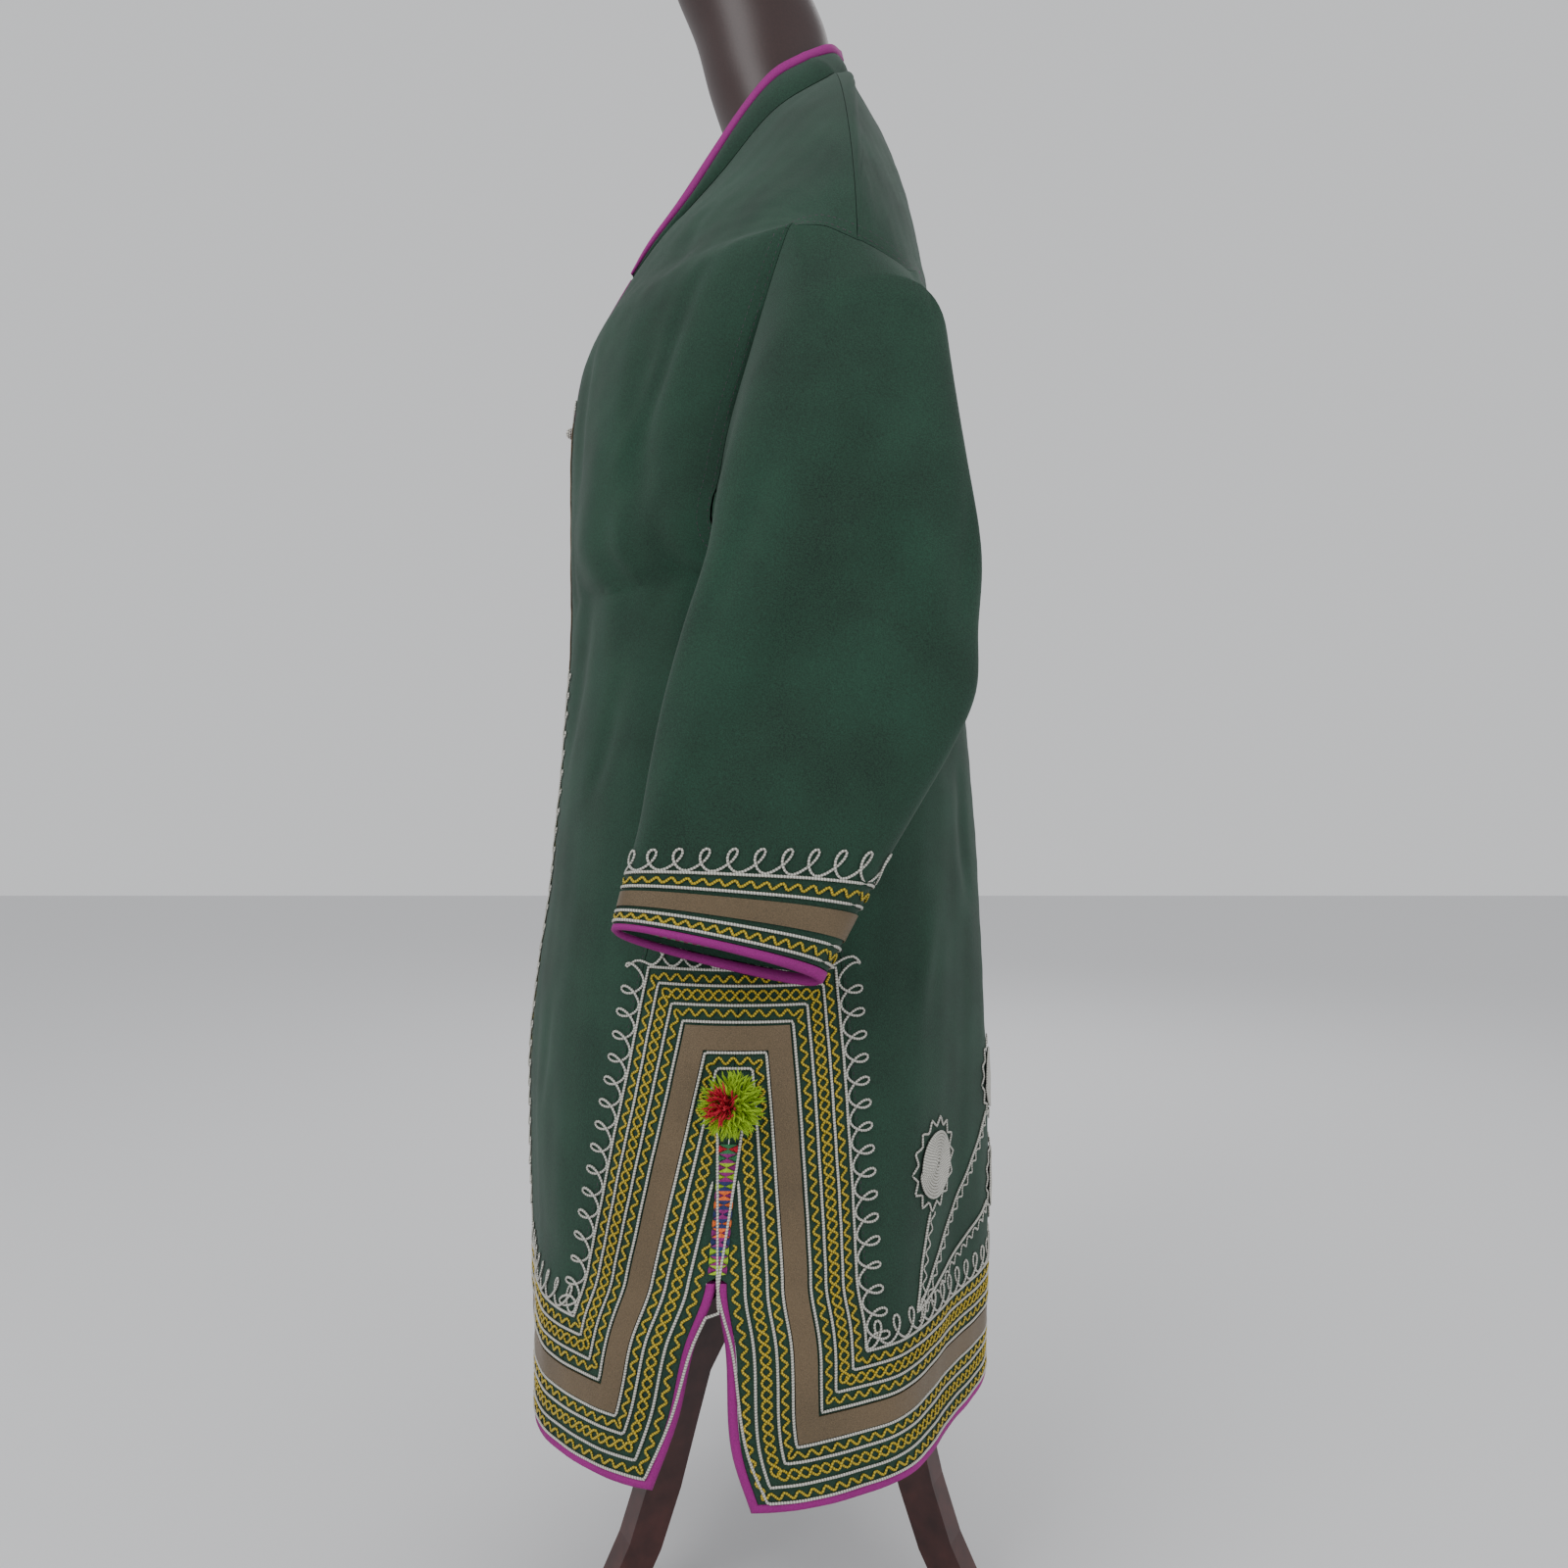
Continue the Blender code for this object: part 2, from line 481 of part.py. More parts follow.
ARMHOLE, ARMHOLE_NORMALS, ARMHOLE_LEAVING = armhole()


def sleeve_angles():
    """Angle of each armhole sample: 90 degrees at the top, -90 at the underarm."""
    steps = np.linalg.norm(np.roll(ARMHOLE, -1, axis=0) - ARMHOLE, axis=1)
    run = np.concatenate([[0.0], np.cumsum(steps)])
    low = len(BACK_UPPER) + 1
    back = run[: low + 1] / run[low]
    front = (run[low:-1] - run[low]) / (run[-1] - run[low])
    degrees = np.concatenate([90 - 180 * back, -90 - 180 * front[1:]])
    return np.radians(degrees)


ANGLES = sleeve_angles()


def seam_directions():
    """At each armhole sample, the way the body's and the sleeve's thickness run, and half their gap."""
    first = sleeve_point(ANGLES, np.full(len(ANGLES), SLEEVE_ROWS[0]))
    starting = unit(first - ARMHOLE)
    around = unit(np.roll(ARMHOLE, -1, axis=0) - np.roll(ARMHOLE, 1, axis=0))
    sleeve_out = unit(np.cross(around, starting))
    middle = ARMHOLE.mean(axis=0)
    sleeve_out *= np.sign(np.sum(sleeve_out * (first - first.mean(axis=0)), axis=1, keepdims=True))
    alike = np.sum(ARMHOLE_NORMALS * sleeve_out, axis=1, keepdims=True)
    apart = np.maximum(0.0, -alike)
    inward = unit(-(ARMHOLE_NORMALS + sleeve_out) + apart * (ARMHOLE_LEAVING - starting))
    inward = unit(inward + 0.2 * unit(middle - ARMHOLE))
    body_in = unit(inward - apart * ARMHOLE_NORMALS)
    sleeve_in = unit(inward - apart * sleeve_out)
    across = unit(np.cross(around, inward))
    across *= np.sign(np.sum(across * (starting - ARMHOLE_LEAVING * 0.2), axis=1, keepdims=True))
    return body_in, sleeve_in, across * (SEAM_GAP / 2) * (1.2 + 2.5 * np.maximum(0.0, 0.4 - alike))


BODY_IN, SLEEVE_IN, SEAM_ACROSS = seam_directions()


def new_material(name):
    colour, roughness, metallic = FINISHES[name]
    material = bpy.data.materials.new(name)
    material.use_nodes = True
    shader = material.node_tree.nodes["Principled BSDF"]
    shader.inputs["Base Color"].default_value = colour
    shader.inputs["Roughness"].default_value = roughness
    shader.inputs["Metallic"].default_value = metallic
    material.diffuse_color = colour
    return material


def add_object(name, mesh, finish):
    """Puts a mesh in the garment's collection under its name, with a material of its own."""
    mesh.name = name
    mesh.materials.append(new_material(finish))
    piece = bpy.data.objects.new(name, mesh)
    piece.location = (0.0, SHIFT_Y, 0.0)
    GARMENT.objects.link(piece)
    return piece


def mesh_from(points, faces):
    work = bmesh.new()
    vertices = [work.verts.new(point) for point in points]
    for face in faces:
        work.faces.new([vertices[i] for i in face])
    bmesh.ops.recalc_face_normals(work, faces=work.faces)
    mesh = bpy.data.meshes.new("piece")
    work.to_mesh(mesh)
    work.free()
    mesh.shade_smooth()
    return mesh


def walled(name, sheets, finish, ring=False):
    """A closed wall from sheets, each a grid of outer points and a matching grid of inner points."""
    found, points = {}, []

    def index(point, layer):
        key = (layer, *(int(round(value * 1e6)) for value in point))
        if key not in found:
            found[key] = len(points)
            points.append(tuple(float(value) for value in point))
        return found[key]

    triangles = []
    inner_of = {}
    for outer, inner in sheets:
        rows, columns = outer.shape[:2]
        for i in range(rows - 1):
            for j in range(columns if ring else columns - 1):
                k = (j + 1) % columns
                corners = []
                for r, c in ((i, j), (i, k), (i + 1, k), (i + 1, j)):
                    top = index(outer[r, c], 0)
                    inner_of[top] = index(inner[r, c], 1)
                    corners.append(top)
                a, b, c, d = corners
                if outer[i, j][0] < 0:
                    pair = ((b, a, c), (a, d, c))
                else:
                    pair = ((a, b, c), (a, c, d))
                triangles += [face for face in pair if len(set(face)) == 3]
    faces = list(triangles)
    faces += [tuple(inner_of[i] for i in reversed(face)) for face in triangles]
    edges = {}
    for face in triangles:
        for u, v in zip(face, face[1:] + face[:1]):
            edges[frozenset((u, v))] = edges.get(frozenset((u, v)), 0) + 1
    for edge in [edge for edge, count in edges.items() if count == 1]:
        u, v = sorted(edge)
        faces += [(u, v, inner_of[v]), (u, inner_of[v], inner_of[u])]
    return add_object(name, mesh_from(points, faces), finish)


def band(name, sections, finish, closed=False):
    """A bar through sections, each the same number of points round it."""
    count, sides = sections.shape[:2]
    points = sections.reshape(-1, 3).tolist()
    faces = []
    for i in range(count if closed else count - 1):
        for j in range(sides):
            a, b = i * sides + j, i * sides + (j + 1) % sides
            c, d = (i + 1) % count * sides + (j + 1) % sides, (i + 1) % count * sides + j
            faces += [(a, b, c), (a, c, d)]
    if not closed:
        last = (count - 1) * sides
        faces += [tuple(range(sides)), tuple(range(last, last + sides))]
    return add_object(name, mesh_from(points, faces), finish)


def both_sides(make, name, shapes, *rest, **options):
    """Makes a piece on the left and its mirror on the right."""
    make(name + "_left", shapes, *rest, **options)
    if isinstance(shapes, list):
        mirrored = [(outer * MIRROR, inner * MIRROR) for outer, inner in shapes]
    else:
        mirrored = shapes * MIRROR
    make(name + "_right", mirrored, *rest, **options)


def front_sample(up):
    """Number of the armhole sample at a row of the front panel."""
    rows = [row for row in FRONT_UPPER if row != BIND_END]
    first = len(BACK_UPPER) + 3
    return 0 if up == rows[-1] else first + rows.index(up)


def back_sample(up):
    return len(BACK_UPPER) - 1 - list(BACK_UPPER).index(up)


def fit_to_armhole(outer, inner, row, column, sample):
    """Ends a panel's grid on the armhole seam, with the seam's own thickness and gap."""
    outer[row, column] = ARMHOLE[sample] - SEAM_ACROSS[sample]
    inner[row, column] = outer[row, column] + BODY_IN[sample] * CLOTH


def panel_grids(half, sample_of, corner_sample):
    """Outer and inner grids of one half panel."""
    lower, upper = skirt_rows(half), upper_rows(half)
    rows = np.concatenate([lower, upper])
    outer, normals = grid_of(half, rows, panel_columns)
    normals[-1] = shoulder_normals()
    low_count = len(lower)
    seam = outer[:low_count]
    pull_in(seam, None, -1, SEAM_GAP / 2)
    pull_in(outer, -1, None, SEAM_GAP / 2)
    inner = outer - normals * CLOTH
    fit_to_armhole(outer, inner, low_count - 1, -1, corner_sample)
    for i, up in enumerate(upper):
        if up != BIND_END:
            fit_to_armhole(outer, inner, low_count + i, -1, sample_of(up))
    if half is FRONT:
        # The binding's last row has no sample of its own, and lies between its neighbours
        i = low_count + list(FRONT_UPPER).index(BIND_END)
        part = (BIND_END - FRONT_UPPER[i - low_count - 1]) / (COLLAR_START - FRONT_UPPER[i - low_count - 1])
        for grid in (outer, inner):
            grid[i, -1] = grid[i - 1, -1] * (1 - part) + grid[i + 1, -1] * part
    return outer, inner


def make_fronts():
    outer, inner = panel_grids(FRONT, front_sample, len(BACK_UPPER) + 2)
    # The last row is the shoulder seam: both grids end a half gap short of it
    outer[-1, -1] += unit(outer[-2, -1] - outer[-1, -1]) * SEAM_GAP / 2
    inner[-1, -1] += unit(outer[-2, -1] - outer[-1, -1]) * SEAM_GAP / 2
    both_sides(walled, "front", [(outer, inner)], "wool")


def make_back():
    outer, inner = panel_grids(BACK, back_sample, len(BACK_UPPER))
    outer[-1, -1] += unit(outer[-2, -1] - outer[-1, -1]) * SEAM_GAP / 2
    inner[-1, -1] += unit(outer[-2, -1] - outer[-1, -1]) * SEAM_GAP / 2
    middle = np.concatenate([skirt_rows(BACK), upper_rows(BACK)]) <= BACK_NECK + 1e-9
    outer[middle, 0, 0] = 0.0
    inner[middle, 0, 0] = 0.0
    walled("back", [(outer, inner), (outer * MIRROR, inner * MIRROR)], "wool")


def make_gores():
    low = len(BACK_UPPER)
    for half, name, corner in ((FRONT, "gore_front", low + 2), (BACK, "gore_back", low)):
        rows = skirt_rows(half)
        outer, normals = grid_of(half, rows, gore_columns)
        pull_in(outer, None, 0, SEAM_GAP / 2)
        slit_rows = len(HEM_ROWS) + 1
        outer[slit_rows:, -1], normals[slit_rows:, -1] = side_seam(rows[slit_rows:] + half.hem)
        pull_in(outer[slit_rows:], None, -1, SEAM_GAP / 2)
        inner = outer - normals * CLOTH
        across = np.linspace(0, 1, outer.shape[1])[:, None]
        ends = (corner, low + 1)
        seam = ARMHOLE[ends[0]] * (1 - across) + ARMHOLE[ends[1]] * across
        gap = SEAM_ACROSS[ends[0]] * (1 - across) + SEAM_ACROSS[ends[1]] * across
        inward = unit(BODY_IN[ends[0]] * (1 - across) + BODY_IN[ends[1]] * across)
        outer[-1] = seam - gap
        pull_in(outer[-1:], None, 0, SEAM_GAP / 2)
        pull_in(outer[-1:], None, -1, SEAM_GAP / 2)
        inner[-1] = outer[-1] + inward * CLOTH
        both_sides(walled, name, [(outer, inner)], "wool")


def sleeve_grid(rows):
    angles, heights = np.meshgrid(ANGLES, np.asarray(rows, float))
    return sleeve_point(angles, heights)


def sleeve_place(rows):
    """Sleeve points and outward directions at these distances above the cuff."""
    rows = np.asarray(rows, float)
    grid = sleeve_grid(rows)
    inside = sleeve_rings(rows)[0]
    along = sleeve_grid(np.minimum(rows + NUDGE, SLEEVE_ROWS[0])) - sleeve_grid(np.maximum(rows - NUDGE, 0))
    around = np.roll(grid, -1, axis=1) - np.roll(grid, 1, axis=1)
    normals = unit(np.cross(around, along))
    normals *= np.sign(np.sum(normals * (grid - inside[:, None, :]), axis=2, keepdims=True))
    return grid, normals


def make_sleeves():
    rows = np.array(SLEEVE_ROWS)
    grid, normals = sleeve_place(rows)
    seam = ARMHOLE + SEAM_ACROSS
    outer = np.concatenate([seam[None], grid])
    inner = np.concatenate([(seam + SLEEVE_IN * CLOTH)[None], grid - normals * CLOTH])
    both_sides(walled, "sleeve", [(outer, inner)], "wool", ring=True)
    edge, out = sleeve_place((0.0, BIND - SEAM_GAP))
    both_sides(band, "binding_cuff", bound_sections(edge[0], edge[1], out[1]), "binding", closed=True)
    ribbon, out = sleeve_place(FRONT_RIBBON)
    both_sides(band, "ribbon_cuff", flat_sections(ribbon[0], ribbon[1], out[0], out[1]), "ribbon", closed=True)
    lining, out = sleeve_place(np.linspace(*LINING_REACH, 3))
    outer = lining - out * (CLOTH + 1.6 * SEAM_GAP)
    both_sides(walled, "cuff_lining", [(outer, outer - out * LINING_THICK)], "lining", ring=True)


def bound_sections(outline, inner, normals):
    """Sections of a binding folded over an edge, from its outline to where the panel starts."""
    near = outline * 0.75 + inner * 0.25
    under = CLOTH + BIND_PROUD
    return np.stack([
        inner + normals * BIND_PROUD,
        near + normals * BIND_PROUD,
        outline - normals * CLOTH / 2,
        near - normals * under,
        inner - normals * under,
    ], axis=1)


def flat_sections(one, other, one_normals, other_normals, off=RIBBON_OFF, thick=RIBBON_THICK):
    """Sections of a flat ribbon between two lines on a panel."""
    return np.stack([
        one + one_normals * off,
        other + other_normals * off,
        other + other_normals * (off + thick),
        one + one_normals * (off + thick),
    ], axis=1)


def places_on(half, places):
    across = np.array([place[0] for place in places])
    up = np.array([place[1] for place in places])
    return half.place(across, up)


def hem_columns(half, keep_from=0.0):
    """Places along a hem, from the inner edge to the slit, at the panels' own lines."""
    panel = panel_columns(half, BIND)
    gore = gore_columns(half, BIND)
    columns = np.concatenate([panel, gore[1:]])
    return [value for value in columns if value > keep_from + 1e-9]


def front_binding_pairs():
    """Outline and inner places of the front's binding: down the edge, along the hem, up the slit."""
    width = BIND - 0.0003
    slit_rows = [up for up in skirt_rows(FRONT) if FRONT_HEM + up <= SLIT_TOP + 1e-9]
    edge_rows = [up for up in (*skirt_rows(FRONT), *FRONT_UPPER) if up <= BIND_END + 1e-9]
    pairs = [((0.0, up), (width, up)) for up in edge_rows[:0:-1]]
    pairs += [((0.0, BIND), (width, BIND)), ((0.0, 0.0), (width, width))]
    for across in hem_columns(FRONT)[:-1]:
        pairs.append(((across, 0.0), (across, width)))
    return pairs + slit_pairs(FRONT, slit_rows, width)


def slit_pairs(half, rows, width):
    """The binding's corner at the hem and its run up the slit."""
    length = half.length(0.0)[0]
    near = half.length(width)[0]
    pairs = [((length, 0.0), (near - width, width))]
    for up in rows:
        length = half.length(up)[0]
        pairs.append(((length, up), (length - width, up)))
    return pairs


def make_bindings():
    pairs = front_binding_pairs()
    outline = places_on(FRONT, [pair[0] for pair in pairs])[0]
    inner, normals = places_on(FRONT, [pair[1] for pair in pairs])
    both_sides(band, "binding", bound_sections(outline, inner, normals), "binding")

    width = BIND - 0.0003
    rows = [up for up in skirt_rows(BACK) if BACK_HEM + up <= SLIT_TOP + 1e-9]
    pairs = [((across, 0.0), (across, width)) for across in hem_columns(BACK)[:-1]]
    pairs += slit_pairs(BACK, rows, width)
    outline = places_on(BACK, [pair[0] for pair in pairs])[0]
    inner, normals = places_on(BACK, [pair[1] for pair in pairs])
    left = bound_sections(outline, inner, normals)
    middle = bound_sections(*hem_middle(width))
    whole = np.concatenate([(left * MIRROR)[::-1], middle, left])
    band("binding_back", whole, "binding")


def hem_middle(width):
    outline = places_on(BACK, [(0.0, 0.0)])[0]
    inner, normals = places_on(BACK, [(0.0, width)])
    outline[:, 0] = inner[:, 0] = normals[:, 0] = 0.0
    return outline, inner, normals


def make_front_ribbon():
    rows = [up for up in (*skirt_rows(FRONT), *FRONT_UPPER) if HEM_ROWS[2] <= up <= FRONT_RIBBON_TOP + 1e-9]
    rows = [SIDE_RIBBON[0], *rows]
    one, one_out = places_on(FRONT, [(FRONT_RIBBON[0], up) for up in rows])
    other, other_out = places_on(FRONT, [(FRONT_RIBBON[1], up) for up in rows])
    both_sides(band, "ribbon_front", flat_sections(one, other, one_out, other_out), "ribbon")


def ribbon_lines(half, columns, numbers, low):
    """Pairs of places on the ribbon's two edges at some of the panel's own lines."""
    near, far = (low + line for line in SIDE_RIBBON)
    near_lines, far_lines = columns(half, near), columns(half, far)
    return [((near_lines[i], near), (far_lines[i], far)) for i in numbers]


def ribbon_corner(half, low):
    """The mitre where the ribbon turns from a level run into the slit's side."""
    return tuple(
        (half.length(low + line)[0] - float(side_line(line, half.hem + low + line)), low + line)
        for line in SIDE_RIBBON
    )


def side_ribbon_half(half):
    """Edges of the side ribbon on one half: along the hem, up beside the slit and over the pompom."""
    first = 2 if half is FRONT else 1
    pairs = ribbon_lines(half, panel_columns, range(first, len(panel_columns(half, BIND))), 0.0)
    pairs += ribbon_lines(half, gore_columns, (1,), 0.0)
    pairs.append(ribbon_corner(half, 0.0))
    arch = ARCH_BASE - half.hem
    for up in skirt_rows(half):
        if HEM_ROWS[2] - 1e-9 <= up and half.hem + up < ARCH_ROWS[0] - 1e-9:
            length, z = half.length(up)[0], half.hem + up
            pairs.append(tuple((length - float(side_line(line, z)), up) for line in SIDE_RIBBON))
    pairs.append(ribbon_corner(half, arch))
    return pairs + ribbon_lines(half, gore_columns, (2, 3), arch)


def make_side_ribbon():
    halves = []
    for half in (FRONT, BACK):
        pairs = side_ribbon_half(half)
        one, one_out = places_on(half, [pair[0] for pair in pairs])
        other, other_out = places_on(half, [pair[1] for pair in pairs])
        halves.append(flat_sections(one, other, one_out, other_out))
    seam, seam_out = side_seam(np.array(SIDE_RIBBON) + ARCH_BASE)
    top = flat_sections(seam[:1], seam[1:], seam_out[:1], seam_out[1:])
    front, back = halves
    ends = places_on(BACK, [(SEAM_GAP / 2, line) for line in SIDE_RIBBON])
    middle = flat_sections(ends[0][:1], ends[0][1:], ends[1][:1], ends[1][1:])
    front[0, :, 0] += SEAM_GAP
    whole = np.concatenate([front, top, back[::-1], middle])
    both_sides(band, "ribbon_side", whole, "ribbon")


def make_strips():
    rows = np.array(STRIP_HEIGHTS)
    lines = [side_seam(rows)]
    for half in (FRONT, BACK):
        up = rows - half.hem
        lines.append(half.place(half.length(up) - STRIP_HALF, up))
    points = np.stack([lines[1][0], lines[0][0], lines[2][0]], axis=1)
    out = np.stack([lines[1][1], lines[0][1], lines[2][1]], axis=1)
    under = points + out * RIBBON_OFF
    both_sides(walled, "strip", [(under + out * STRIP_THICK, under)], "strip")


def collar_lines():
    """Base and top of the collar's left half, from its front end to the middle of the back."""
    front_ups = [up for up in FRONT_UPPER if up >= COLLAR_START - 1e-9]
    back_ups = [up for up in BACK_UPPER if up >= BACK_NECK - 1e-9][-2::-1]
    base = np.concatenate([
        FRONT.point(0.0, np.array(front_ups)),
        BACK.point(0.0, np.array(back_ups)),
    ])
    top = np.concatenate([spline(COLLAR_FRONT, front_ups), spline(COLLAR_BACK, back_ups)])
    return base, top


def make_collar():
    base, top = collar_lines()
    base = np.concatenate([base, base[-2::-1] * MIRROR])
    top = np.concatenate([top, top[-2::-1] * MIRROR])
    rise = top - base
    height = np.linalg.norm(rise, axis=1, keepdims=True)
    along = np.gradient(base, axis=0)
    out = unit(np.cross(along, rise))
    middle = np.array((0.0, -0.02, 0.0))
    side = np.sign(np.sum(out[:, :2] * (base - middle)[:, :2], axis=1, keepdims=True))
    out = out * side
    bind = np.minimum(COLLAR_BIND, height * 0.45)
    foot = base + unit(rise) * SEAM_GAP * 1.6
    body_top = top - unit(rise) * (bind + 2 * SEAM_GAP)
    swell = out * 0.0025 * np.minimum(1.0, height / 0.03)
    waist = (foot + body_top) / 2 + swell
    outer = np.stack([foot, waist, body_top])
    walled("collar", [(outer, outer - out * COLLAR_THICK)], "wool")
    low = top - unit(rise) * bind
    half = COLLAR_THICK / 2
    over = half + BIND_PROUD
    centre = -out * half
    sections = np.stack([
        low + centre + out * over,
        top + centre + out * over * 0.8 - unit(rise) * bind * 0.15,
        top + centre,
        top + centre - out * over * 0.8 - unit(rise) * bind * 0.15,
        low + centre - out * over,
    ], axis=1)
    band("binding_collar", sections, "binding")


def make_pompoms():
    """Wool strands that stand apart on a small ball."""
    foot, out = side_seam(np.array([POMPOM_Z]))
    out = out[0]
    centre = foot[0] + out * (POMPOM_CORE - SEAT / 2)
    for name, side in (("pompom_left", 1.0), ("pompom_right", -1.0)):
        turn = Vector((side * out[0], out[1], out[2]))
        work = bmesh.new()
        bmesh.ops.create_icosphere(work, subdivisions=2, radius=POMPOM_CORE)
        tufts = [face for face in work.faces if face.calc_center_median().normalized().dot(turn) > POMPOM_TILT]
        bmesh.ops.inset_individual(work, faces=tufts, thickness=POMPOM_CORE * 0.09)
        grown = bmesh.ops.extrude_discrete_faces(work, faces=tufts)["faces"]
        for number, face in enumerate(grown):
            middle = face.calc_center_median()
            reach = POMPOM_RADIUS * (0.95 + 0.05 * math.sin(number * 2.4))
            facing = middle.normalized().dot(turn)
            reach *= 1.0 if facing > 0.25 else 0.86 + 0.14 * max(0.0, facing) / 0.25
            tip = middle.normalized() * reach
            for vertex in face.verts:
                vertex.co = tip + (vertex.co - middle) * 0.55
        bmesh.ops.translate(work, verts=work.verts, vec=Vector((side * centre[0], centre[1], centre[2])))
        mesh = bpy.data.meshes.new(name)
        work.to_mesh(mesh)
        work.free()
        add_object(name, mesh, "pompom")


def make_flowers():
    """A coiled disc inside a ring of points, raised on the back panel."""
    for name, (across, up) in FLOWERS.items():
        turns = np.linspace(0, 2 * math.pi, 2 * FLOWER_POINTS, endpoint=False)
        ring = np.where(np.arange(len(turns)) % 2 == 0, FLOWER_RADII[1], FLOWER_RADII[0])
        disc = turns[::2]
        rings = ((disc * 0.0, 0.0, 0.0030), (disc, FLOWER_COILS, 0.0026), (turns, ring, 0.0014))
        lower, upper = [], []
        for angles, radius, thick in rings:
            points, out = BACK.place(across + np.cos(angles) * radius, up + np.sin(angles) * radius)
            lower.append(points + out * FLOWER_OFF)
            upper.append(points + out * (FLOWER_OFF + thick))
        points = [lower[0][0], upper[0][0], *lower[1], *upper[1], *lower[2], *upper[2]]
        count = FLOWER_POINTS
        low_disc, high_disc = 2, 2 + count
        low_ring, high_ring = 2 + 2 * count, 2 + 4 * count
        faces = []
        for i in range(count):
            j = (i + 1) % count
            a, b, c = 2 * i, 2 * i + 1, (2 * i + 2) % (2 * count)
            for centre, inner, outer in ((0, low_disc, low_ring), (1, high_disc, high_ring)):
                faces += [
                    (centre, inner + i, inner + j),
                    (inner + i, outer + a, outer + b),
                    (inner + i, outer + b, inner + j),
                    (inner + j, outer + b, outer + c),
                ]
            for u, v in ((a, b), (b, c)):
                faces += [(low_ring + u, low_ring + v, high_ring + v), (low_ring + u, high_ring + v, high_ring + u)]
        points = np.array(points)
        for side, sign in (("_left", 1.0), ("_right", -1.0)):
            placed = (points * np.array((sign, 1.0, 1.0))).tolist()
            add_object(name + side, mesh_from(placed, faces), "silver")


def tree_of(name):
    mesh = bpy.data.objects[name].data
    return BVHTree.FromPolygons([v.co[:] for v in mesh.vertices], [p.vertices[:] for p in mesh.polygons])


def make_button():
    """A knotted ball, moved in until it rests against the bound front edges."""
    edges = [tree_of("binding_left"), tree_of("binding_right")]
    centre = Vector(BUTTON_AT)
    for _ in range(20):
        room = min(tree.find_nearest(centre)[3] for tree in edges) - BUTTON_RADIUS - SEAT
        centre.y += room * 0.8
    work = bmesh.new()
    bmesh.ops.create_icosphere(work, subdivisions=2, radius=BUTTON_RADIUS)
    bmesh.ops.translate(work, verts=work.verts, vec=centre)
    mesh = bpy.data.meshes.new("button")
    work.to_mesh(mesh)
    work.free()
    add_object("button", mesh, "silver")


def make_form():
    """The torso and neck as one closed body, seated just under the cloth of the shoulders."""
    angles = np.linspace(0, 2 * math.pi, TORSO_SIDES, endpoint=False)
    rings = np.array(TORSO_RINGS)
    x = rings[:, 1:2] * np.cos(angles)
    y = rings[:, 2:3] + rings[:, 3:4] * np.sin(angles)
    z = np.repeat(rings[:, 0:1], TORSO_SIDES, axis=1)
    sections = np.stack([x, y, z], axis=2)
    lift = seat_lift(sections.reshape(-1, 3))
    sections = sections + np.array((0.0, 0.0, lift))
    band("dress_form", sections, "form")
    top = float(rings[-1, 0]) + lift + SEAM_GAP
    work = bmesh.new()
    half_width, middle, half_depth = rings[-1, 1:]
    place = Matrix.Translation((0.0, middle, top + CAP_HEIGHT / 2))
    scale = Matrix.Diagonal((half_width, half_depth, 1.0, 1.0))
    bmesh.ops.create_cone(
        work, cap_ends=True, segments=TORSO_SIDES, radius1=1.0, radius2=0.86, depth=CAP_HEIGHT,
        matrix=place @ scale,
    )
    mesh = bpy.data.meshes.new("neck_cap")
    work.to_mesh(mesh)
    work.free()
    add_object("neck_cap", mesh, "wood")
    return float(rings[0, 0]) + lift


def seat_lift(points):
    """How far the form rises until it is a seam's gap under the cloth."""
    lift = 1.0
    for name in ("front_left", "front_right", "back"):
        tree = tree_of(name)
        for point in points:
            if point[2] < UNDERARM:
                continue
            hit = tree.ray_cast(Vector(point), Vector((0.0, 0.0, 1.0)))
            if hit[0] is not None:
                lift = min(lift, hit[3])
    return lift - SEAM_GAP * 2


def make_stand(form_bottom):
    profile = [(COLUMN_PROFILE[0][0], form_bottom - SEAT), *COLUMN_PROFILE[1:]]
    points = [(0.0, 0.0, profile[0][1])] + [(r, 0.0, z) for r, z in profile] + [(0.0, 0.0, profile[-1][1])]
    mesh = bpy.data.meshes.new("stand_column")
    mesh.from_pydata(points, [(i, i + 1) for i in range(len(points) - 1)], [])
    column = add_object("stand_column", mesh, "wood")
    column.location = (0.0, SHIFT_Y + COLUMN_Y, 0.0)
    screw = column.modifiers.new("turn", "SCREW")
    screw.steps = screw.render_steps = COLUMN_STEPS
    screw.use_merge_vertices = True
    screw.merge_threshold = 0.00005

    for name, angle in LEG_ANGLES.items():
        leg = leg_object(name)
        leg.location = (0.0, SHIFT_Y + COLUMN_Y, 0.0)
        leg.rotation_euler = (math.pi / 2, 0.0, math.radians(angle))


